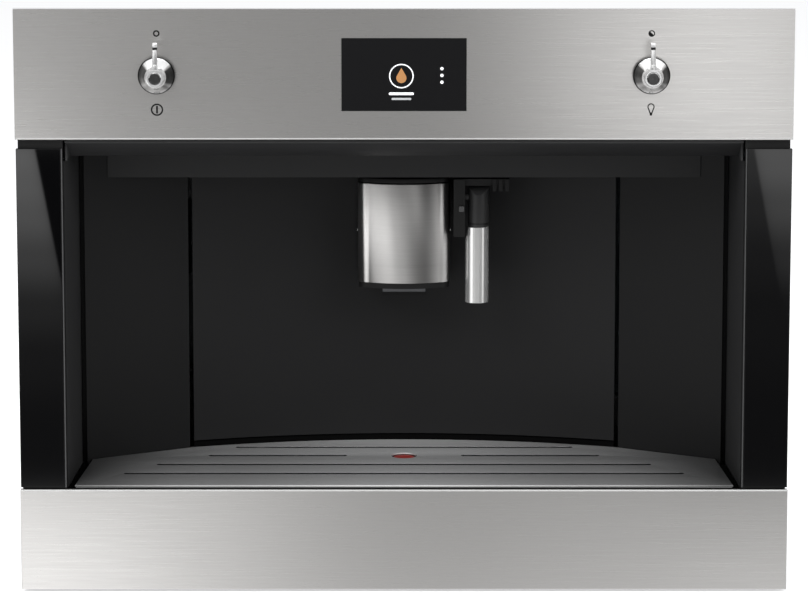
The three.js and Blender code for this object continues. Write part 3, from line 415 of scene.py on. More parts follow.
def makePaintedFansGroup():
    tree, given, made = newGroup("paintedKnobFans", {
        "Vector": origin, "Centre X": 0, "Centre Z": 0, "Rim Radius": 0.0134, "Hub Radius": 0.0084,
        "Hub Tone": 0.7}, {"Color": "Color", "Metallic": "Float", "Roughness": "Float"})
    split = addNode(tree, "ShaderNodeSeparateXYZ", Vector=given["Vector"]).outputs
    centreX = times(mathNode("SIGN", split["X"]), given["Centre X"])
    across = mathNode("SUBTRACT", split["X"], centreX)
    upwards = mathNode("SUBTRACT", split["Z"], given["Centre Z"])
    turn = mathNode("DIVIDE", mathNode("ARCTAN2", upwards, across), 2 * math.pi)
    ramp = addNode(tree, "ShaderNodeValToRGB", Fac=plus(turn, 0.5))
    stops = ramp.color_ramp.elements
    for index, (place, tone) in enumerate(paintedFanTones):
        inner = 0 < index < len(paintedFanTones) - 1
        stop = stops.new(place) if inner else stops[0 if index == 0 else len(stops) - 1]
        stop.position = place
        stop.color = (tone, tone, tone, 1)
    flat = addNode(tree, "ShaderNodeCombineXYZ", X=across, Y=upwards).outputs["Vector"]
    radius = addNode(tree, "ShaderNodeVectorMath", "LENGTH", Vector=flat).outputs["Value"]
    rim, hub = (mathNode("MULTIPLY", mathNode("SUBTRACT", *pair), turnedEdge, clamp=True)
                for pair in ((radius, given["Rim Radius"]), (given["Hub Radius"], radius)))
    fans = addNode(tree, "ShaderNodeMix", Factor=hub, A=ramp.outputs["Color"], B=given["Hub Tone"])
    rimmed = mathNode("SUBTRACT", fans.outputs["Result"], times(rim, 0.97), clamp=True)
    rough = plus(times(noiseNode(given["Vector"], 900), 0.1), 0.1)
    fill(made, Color=rimmed, Metallic=mapRange(rimmed, 0.6, 1, 0.88, 0.3), Roughness=rough)
    return tree


shaderGroups = {"turned": makePaintedFansGroup(), "brushed": makeBrushedGroup(), "skin": makeSkinGroup(),
                "paintedSheen": makePaintedSheenGroup(), "paintedFade": makePaintedFadeGroup()}


def startMaterial(name, metallic=0):
    finish, tree = newSurface(name)
    shader = fill(tree.nodes["Principled BSDF"], Metallic=metallic)
    return finish, shader, tree.nodes.new("ShaderNodeTexCoord").outputs["Object"]


def placeGroup(key, vector, **values):
    node = vector.id_data.nodes.new("ShaderNodeGroup")
    node.node_tree = shaderGroups[key]
    return fill(node, Vector=vector, **values).outputs


def bumpFrom(height, strength, distance=0.0002):
    bump = addNode(height.id_data, "ShaderNodeBump", Strength=strength, Distance=distance, Height=height)
    return bump.outputs["Normal"]


def tint(color):    # one number is a grey, and two are a grey and its blue
    parts = color if isinstance(color, tuple) else (color,)
    return parts if len(parts) == 3 else (parts[0], parts[0], parts[-1])


def mottled(factor, low, color):    # the colour, darker where the noise is low
    return mixColors(factor, tuple(low * c for c in tint(color)), tint(color))


def steelMaterial(name, light, dark, stretch, rough, paintedSheen=None, bump=0.05, metallic=1,
                  anisotropy=(0, 0), paintedFade=None):
    finish, shader, vector = startMaterial(name, metallic)
    grain = placeGroup("brushed", vector, Stretch=stretch, Light=tint(light), Dark=tint(dark),
                       Rough_Low=rough[0], Rough_High=rough[1])
    color = grain["Color"]
    if paintedSheen:
        tones = {f"Tone_{number}": tone for number, tone in enumerate(paintedSheen[1], 1)}
        sheenPainted = placeGroup("paintedSheen", vector, Color=color, Half_Width=paintedSheen[0] * mm, **tones)
        color = sheenPainted["Color"]
    if paintedFade:
        along, start, end, tone = paintedFade
        color = placeGroup("paintedFade", vector, Color=color, Along=along, Start=start, End=end, Tone=tone)["Color"]
    fill(shader, Base_Color=color, Roughness=grain["Roughness"], Anisotropic=anisotropy[0],
         Anisotropic_Rotation=anisotropy[1], Normal=bumpFrom(grain["Height"], bump))
    return finish


def mouldedMaterial(name, color, edge, roughness, grain, bump=0.12, cloud=0.14, metallic=0, specular=0.5):
    finish, shader, vector = startMaterial(name, metallic)
    skin = placeGroup("skin", vector, Color=tint(color), Edge_Color=tint(edge), Grain=grain,
                      Roughness=roughness, Cloud=cloud)
    fill(shader, Base_Color=skin["Color"], Roughness=skin["Roughness"], Specular_IOR_Level=specular,
         Normal=bumpFrom(skin["Height"], bump))
    return finish


def glassMaterial(name, color, roughness, specular):
    finish, shader, vector = startMaterial(name)
    smear = noiseNode(vector, 5, 4, 0.6)
    rough = plus(times(smear, 0.02), roughness)
    fill(shader, Base_Color=mottled(smear, 0.7, color), Roughness=rough, Specular_IOR_Level=specular)
    return finish


def glowMaterial(name, color, strength):
    finish, shader, vector = startMaterial(name)
    shine = mottled(noiseNode(vector, 220, 1), 0.94, color)
    fill(shader, Base_Color=shine, Emission_Color=shine, Emission_Strength=strength, Roughness=0.3)
    return finish


def smokedMaterial(name, color, transmission):
    finish, shader, vector = startMaterial(name)
    smoke = mottled(noiseNode(vector, 30, 3), 0.85, color)
    fill(shader, Base_Color=smoke, Transmission_Weight=transmission, Roughness=0.12, IOR=1.45)
    return finish


def paintedFansMaterial(name, centreX, centreZ):
    finish, shader, vector = startMaterial(name)
    fans = placeGroup("turned", vector, Centre_X=centreX, Centre_Z=centreZ)
    fill(shader, Base_Color=fans["Color"], Metallic=fans["Metallic"], Roughness=fans["Roughness"])
    return finish


knobSpot = (189.1, 404.4)
panelSteel = ((0.62, 0.61, 0.598), (0.55, 0.54, 0.53), (0.8, 60, 95), (0.26, 0.33))
drawn, evenGrain = (1, 60, 60), (30, 30, 30)
steels = {    # light, dark, stretch, roughness, painted sheen (half width, tones), bump, metallic, anisotropy, painted fade
    # painted reflections: the sheen tones of the control and lower panels paint light and dark across them
    "controlSteel": (*panelSteel, (300, (1, 0.93, 0.92, 1.14, 1.32)), 0.03),
    "lowerSteel": (*panelSteel, (300, (1.14, 1, 0.96, 1, 1.04)), 0.03),
    # painted reflection and shade: the spout's sheen tones paint its bright and dark stripes, and its fade
    # darkens it towards the bottom
    "spoutSteel": ((0.68, 0.67, 0.66), (0.6, 0.59, 0.58), (1.2, 1.2, 90), (0.34, 0.4),
                   (34, (1.6, 1.12, 0.98, 0.38, 1.25)), 0.03, 1, (0.8, 0.25),
                   ((0, 0, 1), frontZ + 0.28, frontZ + 0.238, 0.62)),
    # painted highlight: a paler, less metallic copy of the panel steel for the strips along the panels' edges
    "brightEdge": ((0.62, 0.61), (0.56, 0.55), drawn, (0.3, 0.4), None, 0.01, 0.2),
    "chrome": (0.8, 0.74, (30, 30, 4), (0.06, 0.11), None, 0.01),
    "sleeveChrome": ((0.8, 0.79), (0.72, 0.71), (40, 40, 3), (0.16, 0.21), None, 0.01, 0.72),
    # painted light: the grid's sheen tones paint a pool of light in its middle and shade at its ends, and its
    # fade makes it paler towards the back
    "gridSteel": (0.56, 0.5, drawn, (0.26, 0.34), (300, (0.1, 1, 1.5, 1, 0.1)), 0.05, 0.55, (0, 0),
                  ((0, 1, 0), frontY + 0.105, frontY + 0.165, 1.8)),
    # painted highlight: a near-white copy of the lever's chrome for its tip
    "leverTip": (0.95, 0.9, evenGrain, (0.3, 0.4), None, 0.01),
    "satinChrome": ((0.74, 0.735), 0.64, evenGrain, (0.22, 0.3), None, 0.01),
    "insertSteel": (0.11, 0.08, evenGrain, (0.25, 0.35), None, 0.01),
    "screwSteel": ((0.55, 0.56), (0.42, 0.43), (20, 20, 20), (0.2, 0.35)),
}
lacquer = (1500, 0.04, 0.18, 0)    # grain, bump, cloud, metallic
mouldings = {    # colour, edge colour (a painted highlight on edges), roughness, grain, bump, cloud, metallic, specular level
    "zincSheet": ((0.4, 0.41, 0.42), (0.4, 0.41, 0.42), 0.42, 160, 0.1, 0.35, 0.85),
    "runnerSteel": ((0.4, 0.41, 0.42), (0.42, 0.43, 0.44), 0.36, 260, 0.06, 0.2, 0.9),
    "nicheLacquer": ((0.0062, 0.0066), 0.012, 0.42, *lacquer, 0.13),
    "valanceLacquer": ((0.02, 0.0205), 0.024, 0.42, *lacquer, 0.18),
    "doorLacquer": ((0.0104, 0.0108), (0.0104, 0.0108), 0.42, *lacquer, 0.18),
    # painted light: a paler copy of the niche lacquer for the liners' faces along the opening
    "linerLacquer": ((0.034, 0.0345), (0.034, 0.0345), 0.5, *lacquer, 0.18),
    # the lip's paler edge colour is a painted highlight along its bevels
    "lipLacquer": ((0.022, 0.0225), 0.08, 0.62, *lacquer, 0.12),
    "frameBlack": ((0.004, 0.0042), 0.016, 0.5, 1500, 0.05, 0.15, 0, 0.2),
    "beadGrey": ((0.045, 0.046), 0.05, 0.45, 1500, 0.04),
    "wellBlack": (0.0022, 0.003, 0.75, 1500, 0.05, 0.1, 0, 0.04),
    "blackPlastic": ((0.009, 0.0095), 0.02, 0.42, 1800),
    "deepBlack": (0.004, 0.012, 0.6, 1500, 0.1, 0.2, 0, 0.2),
    "gripPlastic": ((0.014, 0.0145), 0.04, 0.42, 1500, 0.02, 0.1, 0, 0.3),
    "buttonGrey": ((0.045, 0.046), 0.08, 0.4, 1300, 0.05),
    "greyPlastic": ((0.075, 0.078, 0.082), (0.16, 0.17), 0.48, 1300, 0.14),
    "trayRim": ((0.045, 0.046), 0.14, 0.4, 1300, 0.08),
    "castAluminium": ((0.36, 0.365, 0.37), 0.55, 0.5, 700, 0.4, 0.3, 0.85),
    "boardGreen": ((0.013, 0.07, 0.035), (0.03, 0.12, 0.06), 0.35, 500, 0.1, 0.4),
    "signalRed": ((0.38, 0.02, 0.014), (0.5, 0.08, 0.06), 0.34, 1400, 0.05),
    "inkBlack": ((0.006, 0.0063), 0.01, 0.6, 1500, 0.05, 0.1, 0, 0.1),
}
glasses = {"blackGlass": ((0.002, 0.0023), 0.002, 0.42), "displayGlass": ((0.0085, 0.0092), 0.06, 0.16)}
glows = {"lampLens": ((0.85, 0.84, 0.8), 0.25), "screenWhite": ((0.85, 0.86, 0.88), 0.55),
         "screenGrey": ((0.45, 0.46, 0.47), 0.25), "screenAmber": ((0.42, 0.2, 0.07), 0.25)}
finishes = {
    # painted highlights and reflections in the colour of the knobs' chrome
    "chromeWithPaintedFans": paintedFansMaterial("chromeWithPaintedFans", knobSpot[0] * mm, frontZ + knobSpot[1] * mm),
    "smokedTank": smokedMaterial("smokedTank", (0.55, 0.62, 0.66), 0.75),
}
for make, table in ((steelMaterial, steels), (mouldedMaterial, mouldings), (glassMaterial, glasses),
                    (glowMaterial, glows)):
    for name, values in table.items():
        finishes[name] = make(name, *values)
print("materials ready:", len(finishes))


# ---- mesh tools

def newPiece(name, mesh, finish, smoothAngle=32):
    piece = placed(name, mesh)
    mesh.materials.clear()
    mesh.materials.append(finishes[finish])
    mesh.shade_smooth()
    mesh.set_sharp_from_angle(angle=math.radians(smoothAngle))
    return piece


def meshFrom(name, bm, recalculate=True):
    if recalculate:
        bmesh.ops.remove_doubles(bm, verts=bm.verts, dist=1e-6)
        bmesh.ops.recalc_face_normals(bm, faces=bm.faces)
    mesh = bpy.data.meshes.new(name)
    bm.to_mesh(mesh)
    bm.free()
    return mesh


def evaluated(piece):
    bpy.context.view_layer.update()
    return bpy.data.meshes.new_from_object(piece.evaluated_get(bpy.context.evaluated_depsgraph_get()))


def applied(piece):    # the evaluated mesh takes the place of mesh and modifiers
    result = evaluated(piece)
    piece.modifiers.clear()
    piece.data = result
    return piece


def bevelled(piece, width, segments):
    bevel = piece.modifiers.new("bevel", "BEVEL")
    bevel.width = width * mm
    bevel.segments = segments
    bevel.limit_method = "ANGLE"
    bevel.angle_limit = math.radians(30)
    bevel.harden_normals = True
    bevel.use_clamp_overlap = True
    return applied(piece)


def drawnArea(mesh):    # the area as triangles, which a badly filled face makes too large
    mesh.calc_loop_triangles()
    return sum(triangle.area for triangle in mesh.loop_triangles)


def refined(node, name, finish, width, segments):    # a CAD node with softened edges
    source = frame["nodes"][node].data
    for merging in (True, False):
        bm = bmesh.new()
        bm.from_mesh(source)
        bmesh.ops.remove_doubles(bm, verts=bm.verts, dist=2e-6)
        if merging:
            bmesh.ops.dissolve_limit(bm, angle_limit=math.radians(0.6), verts=bm.verts, edges=bm.edges)
        piece = bevelled(newPiece(name, meshFrom(name, bm, recalculate=False), finish), width, segments)
        if drawnArea(piece.data) < 1.004 * drawnArea(source):
            return settle(piece, node)
        if merging:
            bpy.data.objects.remove(piece)
    print("check the edges of", node)
    return settle(piece, node)


def settle(piece, *nodes, beside=None):    # the piece stands for the nodes, or moves with the one beside it
    body = frame["nodes"][nodes[0] if nodes else beside]["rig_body"]
    if nodes:
        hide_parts(*nodes)
    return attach(piece, body)


def prism(name, outline, low, high, finish, width, segments=2, toWorld=at, smoothAngle=32):
    bm = bmesh.new()
    below = [bm.verts.new(toWorld(a, b, low)) for a, b in outline]
    above = [bm.verts.new(toWorld(a, b, high)) for a, b in outline]
    bm.faces.new(below)
    bm.faces.new(above)
    for index in range(len(outline)):
        nextIndex = (index + 1) % len(outline)
        bm.faces.new((below[index], below[nextIndex], above[nextIndex], above[index]))
    piece = newPiece(name, meshFrom(name, bm), finish, smoothAngle)
    return bevelled(piece, width, segments) if width else piece


def fromFront(x, height, depth):    # for outlines seen from the front
    return at(x, depth, height)


def fromSide(depth, height, x):    # for outlines seen from the right
    return at(x, depth, height)


def turned(name, profile, centre, finish, axis="z", count=72):
    bm = bmesh.new()
    rings = []
    for radius, height in profile:
        ring = []
        for a, b in (circlePoints(0, 0, radius, count) if radius > 1e-6 else [(0, 0)]):
            spot = {"x": (height, a, b), "y": (a, height, b), "z": (a, b, height)}[axis]
            ring.append(bm.verts.new(at(*(Vector(centre) + Vector(spot)))))
        rings.append(ring)
    for lower, upper in zip(rings, rings[1:]):
        for step in range(count):
            corners = [ring[number % len(ring)] for ring, number in
                       ((lower, step), (lower, step + 1), (upper, step + 1), (upper, step))]
            bm.faces.new(tuple(dict.fromkeys(corners)))    # at the axis two corners are one
    return newPiece(name, meshFrom(name, bm), finish, 30)


def filled(name, outlines, thickness, place, finish, rounding=0, resolution=0, smoothAngle=32):
    curve = bpy.data.curves.new(name, "CURVE")
    curve.dimensions = "2D"
    curve.fill_mode = "BOTH"
    curve.extrude = (thickness / 2 - rounding) * mm
    curve.bevel_depth = rounding * mm
    curve.bevel_resolution = resolution
    curve.offset = -rounding * mm
    for outline in outlines:    # one inside another is a hole
        spline = curve.splines.new("POLY")
        spline.points.add(len(outline) - 1)
        for point, (a, b) in zip(spline.points, outline):
            point.co = (a * mm, b * mm, 0, 1)
        spline.use_cyclic_u = True
    source = placed(name, curve)
    mesh = evaluated(source)
    bpy.data.objects.remove(source)
    mesh.transform(place)
    bm = bmesh.new()
    bm.from_mesh(mesh)
    return newPiece(name, meshFrom(name, bm), finish, smoothAngle)


def flatPlate(name, outlines, low, high, finish, rounding, resolution):    # seen from above
    place = Matrix.Translation(at(0, 0, (low + high) / 2))
    return filled(name, outlines, high - low, place, finish, rounding, resolution, 40)


def inked(name, outlines, depth, finish):    # a flat mark seen from the front
    place = Matrix.Translation(at(0, depth, 0)) @ Matrix.Rotation(math.pi / 2, 4, "X")
    return filled(name, outlines, 0.06, place, finish)


def joined(name, pieces):    # several made pieces become one object
    bm = bmesh.new()
    slots = []
    for piece in pieces:
        first = len(bm.faces)
        bm.from_mesh(piece.data)
        bm.faces.ensure_lookup_table()
        material = piece.data.materials[0]
        if material not in slots:
            slots.append(material)
        for face in bm.faces[first:]:
            face.material_index = slots.index(material)
        bpy.data.objects.remove(piece)
    mesh = meshFrom(name, bm, recalculate=False)
    indices = [polygon.material_index for polygon in mesh.polygons]
    whole = newPiece(name, mesh, "blackPlastic")
    mesh.materials.clear()
    for material in slots:
        mesh.materials.append(material)
    mesh.polygons.foreach_set("material_index", indices)
    return whole


def circlePoints(x, y, radius, count=32, start=0, sweep=360):
    ends = 0 if sweep >= 360 else 1
    return [(x + radius * math.cos(math.radians(start + sweep * i / (count - ends))),
             y + radius * math.sin(math.radians(start + sweep * i / (count - ends)))) for i in range(count)]


def roundedOutline(x0, y0, x1, y1, radius, count=6):
    corners = ((x1 - radius, y1 - radius, 0), (x0 + radius, y1 - radius, 90), (x0 + radius, y0 + radius, 180),
               (x1 - radius, y0 + radius, 270))
    return [point for x, y, start in corners for point in circlePoints(x, y, radius, count + 1, start, 90)]


print("tools ready")


# ---- pieces refined from the CAD: softened edges and a finish each

refinedPieces = (    # finish, edge rounding in mm, segments, nodes
    ("controlSteel", 0.7, 3, "control_panel"),
    ("lowerSteel", 0.7, 3, "lower_panel"),
    ("blackGlass", 0.3, 2, "side_glass_left side_glass_right"),
    ("frameBlack", 0.3, 2, "front_frame"),
    ("displayGlass", 0.25, 2, "display_glass"),
    ("boardGreen", 0.2, 1, "display_board"),
    ("nicheLacquer", 0.3, 2, "niche_side_left niche_side_right"),
    ("lipLacquer", 0.3, 2, "niche_soffit"),
    ("valanceLacquer", 0.4, 2, "niche_canopy"),
    ("wellBlack", 0.3, 2, "drip_well"),
    ("greyPlastic", 0.6, 2, "brew_housing tank_seat tank_lid"),
    ("greyPlastic", 0.8, 2, "grounds_container"),
    ("greyPlastic", 0.3, 2, "grind_dial"),
    ("greyPlastic", 0.3, 1, "push_collar_left push_collar_right"),
    ("blackPlastic", 0.6, 2, "brewing_unit"),
    ("blackPlastic", 0.4, 2, "bean_hopper"),
    ("blackPlastic", 0.3, 2, "mains_inlet door_inner_frame main_switch"),
    ("blackPlastic", 0.6, 3, "bean_lid funnel_lid"),
    ("deepBlack", 0.4, 2, "wand_bracket spout_carriage"),
    ("castAluminium", 0.6, 2, "grinder"),
    ("castAluminium", 0.5, 2, "thermoblock"),
    ("smokedTank", 0.6, 2, "water_tank"),
    ("signalRed", 0.5, 3, "tray_float"),
    ("trayRim", 0.5, 2, "drip_tray"),
    ("gripPlastic", 0.3, 2, "wand_grip"),
    ("sleeveChrome", 0.3, 2, "wand_sleeve"),
    ("chrome", 0.2, 2, "wand_nozzle"),
    ("zincSheet", 0.5, 2, "pump"),
    ("zincSheet", 0.25, 1, "rear_panel"),
    ("zincSheet", 0.3, 1, "base_pan side_panel_left side_panel_right top_cover"),
    ("zincSheet", 0.3, 1, "knob_shaft_left knob_shaft_right"),
    ("runnerSteel", 0.25, 1, "runner_outer_left runner_middle_left runner_inner_left"),
    ("runnerSteel", 0.25, 1, "runner_outer_right runner_middle_right runner_inner_right"),
)
for finish, width, segments, nodes in refinedPieces:
    for node in nodes.split():
        refined(node, f"{node}_piece", finish, width, segments)
for side in ("left", "right"):    # painted light: the liners' faces along the opening get a paler copy of the lacquer
    mesh = bpy.data.objects[f"niche_side_{side}_piece"].data
    mesh.materials.append(finishes["linerLacquer"])
    for polygon in mesh.polygons:
        if abs(polygon.normal.x) > 0.8:
            polygon.material_index = 1
bead = {"inner": 261.9, "outer": 263.7, "depth": 1.5}    # the pale line beside each glass strip
frameMesh = bpy.data.objects["front_frame_piece"].data
frameMesh.materials.append(finishes["beadGrey"])
for polygon in frameMesh.polygons:
    outwards, depth = abs(polygon.center.x) / mm, (polygon.center.y - frontY) / mm
    if bead["inner"] < outwards < bead["outer"] and depth < bead["depth"] and polygon.normal.y < -0.2:
        polygon.material_index = 1
print("pieces refined from", len(refinedPieces), "groups")


# ---- pieces drawn finely: knobs, door, spout, grid, lamp lenses and small trims

lever = {    # outlines by depth and height, and the flare's by x and height
    "halfWidth": 1.75, "grooveHalfWidth": 1.7,
    "shank": [
        (-24, 5), (-21.72, 21.7), (-17.14, 21.7), (-14.8, 9), (-13, 3), (-13, -1), (-20.6, -1), (-24, 3.6)],
    "groove": [(-21.58, 21.6), (-21.46, 23.5), (-17.32, 23.5), (-17.4, 21.6)],
    "tip": [
        (-21.46, 23.4), (-21.2, 25.5), (-20.9, 26.3), (-20.2, 26.8), (-18.7, 26.8), (-18, 26.4),
        (-17.6, 25.5), (-17.31, 23.4)],
    "flare": [
        (-6.4, 0.5), (-4.6, 4.2), (-2.6, 7), (-1.6, 10.5), (1.6, 10.5), (2.6, 7), (4.6, 4.2), (6.4, 0.5)],
}
knob = {    # profiles by radius and depth
    "skirt": [
        (0, -2.7), (13.9, -2.7), (14.25, -3), (14.25, -4.55), (14.1, -5.05), (13.75, -5.35), (13.2, -5.85),
        (10.9, -11), (8.5, -17.1), (7.9, -18.1), (7.2, -19.1), (6.9, -20), (6.75, -20.8), (6.75, -24.05),
        (6.6, -24.45), (6.25, -24.6), (5.15, -24.6), (4.85, -24.5), (4.7, -24.2), (4.7, -22.2), (0, -22.2)],
    "insert": [
        (0, -23.4), (0.65, -23.4), (0.75, -24), (1.85, -24.1), (1.95, -23.9), (2.25, -23.9), (2.35, -24.1),
        (3.15, -24.1), (3.25, -23.9), (3.5, -23.9), (3.6, -24), (4.05, -23.7), (4.3, -23.3), (4.3, -22.5),
        (0, -22.5)],
}


def makeKnob(side, x, height):
    parts = [turned("skirt", knob["skirt"], (x, 0, height), "chromeWithPaintedFans", axis="y", count=112)]
    # painted shade and highlight: the groove's near-black is painted shade, the tip's near-white steel a
    # painted highlight
    for key, half, finish, rounding in (("shank", lever["halfWidth"], "satinChrome", 0.45),
                                        ("groove", lever["grooveHalfWidth"], "deepBlack", 0.1),
                                        ("tip", lever["halfWidth"], "leverTip", 0.4)):
        outline = [(depth, height + up) for depth, up in lever[key]]
        parts.append(prism(key, outline, x - half, x + half, finish, rounding, 3, toWorld=fromSide))
    parts.append(prism("flare", [(x + a, height + b) for a, b in lever["flare"]], -23.6, -20.2, "satinChrome",
                       0.5, 3, toWorld=fromFront))
    settle(joined(f"knob_{side}_fine", parts), f"knob_{side}")
    insert = turned(f"knob_insert_{side}_fine", knob["insert"], (x, 0, height), "insertSteel", "y", 64)
    settle(insert, f"knob_insert_{side}")


makeKnob("left", -knobSpot[0], knobSpot[1])
makeKnob("right", *knobSpot)

door = {"halfWidth": 171, "bottom": 88.2, "top": 309, "midDepth": 169.6, "seamX": 174,
        "seamDepth": 139.1, "skin": 2.5}
doorRise = door["midDepth"] - door["seamDepth"]
doorRadius = (door["seamX"] ** 2 + doorRise ** 2) / (2 * doorRise)


def doorPoint(x, offset=0):
    return (x, door["midDepth"] - doorRadius + math.sqrt((doorRadius + offset) ** 2 - x * x))


def doorArc(start, end, offset=0, count=72):
    return [doorPoint(start + (end - start) * i / count, offset) for i in range(count + 1)]


half = door["halfWidth"]
doorSkin = doorArc(-half, half) + doorArc(half, -half, door["skin"])
settle(prism("doorSkinFine", doorSkin, door["bottom"], door["top"], "doorLacquer", 0.6, 3, smoothAngle=20),
       "door_skin")

spout = {"halfWidth": 37, "nose": 108, "bulge": 64, "corner": 9, "bottom": 223.6, "top": 303.7,
         "sheet": 1.2, "back": 158, "nubHeight": 263.8, "nubDepth": 134}


def spoutOutline(inset, back, arcSteps=22, cornerSteps=10):
    w, nose, r = spout["halfWidth"] - inset, spout["nose"] + inset, spout["corner"] - inset
    arcHalf = w - r * 0.9

    def arcDepth(x):
        return nose + spout["bulge"] - math.sqrt(spout["bulge"] ** 2 - x ** 2)
    right = [(arcHalf * i / arcSteps, arcDepth(arcHalf * i / arcSteps)) for i in range(arcSteps + 1)]
    for i in range(1, cornerSteps + 1):
        angle = i / cornerSteps * math.pi / 2
        depth = arcDepth(arcHalf) + r * (1 - math.cos(angle))
        right.append((arcHalf + (w - arcHalf) * math.sin(angle), depth))
    right.append((w, back))
    return [(-x, depth) for x, depth in reversed(right[1:])] + right


outline = spoutOutline(0, spout["back"]) + list(reversed(spoutOutline(spout["sheet"], spout["back"])))
cover = prism("cover", outline, spout["bottom"], spout["top"], "spoutSteel", 0.3, 3, smoothAngle=24)
nubProfile = [(0, -0.8), (1.5, -0.8), (1.5, 0.35), (1.25, 0.7), (0.8, 0.8), (0, 0.8)]
nubs = [turned("nub", [(radius, side * height) for radius, height in nubProfile],
               (side * spout["halfWidth"], spout["nubDepth"], spout["nubHeight"]), "chrome", "x", 24)
        for side in (-1, 1)]    # the round heads that hold the cover's sides
settle(joined("spoutCoverFine", [cover, *nubs]), "spout_cover")
rail = [prism("column", [(-22, 132), (22, 132), (22, 168.2), (-22, 168.2)], spout["bottom"] + 3, 304.6,
              "deepBlack", 0.6),
        prism("cap", spoutOutline(0.6, 165), spout["top"] + 0.8, 308.2, "deepBlack", 0.5, 3,
              smoothAngle=24)]
settle(joined("spoutRailFine", rail), "spout_rail")

grid = {"frontX": 256, "frontDepth": 1, "cornerX": 249.7, "cornerDepth": 94.5, "top": 83.3,
        "plate": 1.2, "slotWidth": 5, "floatDepth": 107.7, "floatRadius": 10,
        "rows": ((42.5, 220.8, 0), (75, 197.1, 0), (107.7, 157.3, 46), (139, 137, 0)),
        "tubInset": 9, "tubFront": 15, "skirtInset": 3.5, "skirtWall": 1.4, "skirtDrop": 7}


def gridOutline():
    return [(-grid["frontX"], grid["frontDepth"]), (grid["frontX"], grid["frontDepth"]),
            (grid["cornerX"], grid["cornerDepth"]), *doorArc(172, -172, -0.7),
            (-grid["cornerX"], grid["cornerDepth"])]


def slotOutlines():
    outlines = []
    for depth, halfLength, middle in grid["rows"]:
        spans = ((-halfLength, -middle), (middle, halfLength)) if middle else ((-halfLength, halfLength),)
        for start, end in spans:
            radius = grid["slotWidth"] / 2
            outlines.append(roundedOutline(start, depth - radius, end, depth + radius, radius - 0.01, 8))
    return outlines


def insetOutline(points, distance):    # a closed outline, every side moved inwards
    moved = []
    for before, point, after in zip(points[-1:] + points, points, points[1:] + points[:1]):
        sides = []
        for first, second in ((before, point), (point, after)):
            direction = (Vector(second) - Vector(first)).normalized()
            sides.append((Vector(point) + distance * Vector((-direction.y, direction.x)), direction))
        (start, along), (other, across) = sides
        turn = along.cross(across)
        reach = 0 if abs(turn) < 1e-9 else (other - start).cross(across) / turn
        moved.append(tuple(start + along * reach))
    return moved


plateLow, plateTop = grid["top"] - grid["plate"], grid["top"]
floatHole = circlePoints(0, grid["floatDepth"], grid["floatRadius"], 48)
plate = flatPlate("plate", [gridOutline(), *slotOutlines(), floatHole], plateLow, plateTop, "gridSteel",
                  0.34, 4)
tubOutline = [(x, max(depth, grid["tubFront"])) for x, depth in insetOutline(gridOutline(), grid["tubInset"])]
skirtOutline = insetOutline(tubOutline, grid["skirtInset"])
skirt = flatPlate("skirt", [skirtOutline, insetOutline(skirtOutline, grid["skirtWall"])],
                  plateTop - grid["skirtDrop"], plateLow + 0.1, "gridSteel", 0.3, 2)
cupGrid = joined("cupGridFine", [plate, skirt])
cupGrid.data.materials.append(finishes["deepBlack"])
for polygon in cupGrid.data.polygons:    # painted shade: the walls inside the slots get the near-black finish
    spotDepth = (polygon.center.y - frontY) / mm
    spotX = abs(polygon.center.x) / mm
    inSlot = any(abs(spotDepth - depth) < grid["slotWidth"] / 2 + 0.1 and spotX < halfLength + 1
                 for depth, halfLength, middle in grid["rows"])
    if inSlot and abs(polygon.normal.z) < 0.8 and polygon.center.z > frontZ + (plateTop - 1.5) * mm:
        polygon.material_index = 1
settle(cupGrid, "cup_grid")

lensProfile = [(0, 311.2), (6, 311.3), (9.6, 311.9), (10.5, 312.6), (10.7, 313.4), (10.7, 314.6), (0, 314.6)]
for side, x in (("left", -120), ("right", 120)):
    lens = turned(f"lamp_lens_{side}_fine", lensProfile, (x, 124, 0), "lampLens", count=56)
    settle(lens, f"lamp_lens_{side}")
trims = {    # outline seen from the front, depths, finish, node beside it
    "outletFace": ((-17.2, 214.2, 17.2, 218.8, 0.5), 125.4, 126.1, "greyPlastic", "spout_carriage"),
    "bracketButton": ((43.7, 282.5, 47.9, 286.9, 0.8), 104.3, 104.9, "buttonGrey", "wand_bracket"),
}
for name, (box, front, back, finish, node) in trims.items():
    settle(prism(name, roundedOutline(*box), front, back, finish, 0.2, toWorld=fromFront), beside=node)
highlightEdgeStrips = {    # painted highlight: strips of a paler, less metallic copy of the steel along the panels' edges by the niche: depth and height
    "control_panel": [(0.3, 354.6), (0.12, 354.62), (-0.3, 355.72), (-0.3, 355.8), (0.2, 355.85)],
    "lower_panel": [(0.3, 79.9), (0.15, 79.88), (-0.45, 78.78), (-0.42, 78.7), (0.2, 78.6)],
}
for node, profile in highlightEdgeStrips.items():
    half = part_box(node)[1].x / mm - 0.8
    settle(prism(f"{node}_edge", profile, -half, half, "brightEdge", 0, toWorld=fromSide), beside=node)
print("fine pieces ready")


# ---- marks: symbols on the control panel and a generic screen

def printed(name, marks, depth, node):    # marks: finish and outlines; an outline inside another is a hole
    pieces = [inked(key, outlines, depth, finish) for key, (finish, outlines) in marks.items()]
    settle(joined(name, pieces), beside=node)


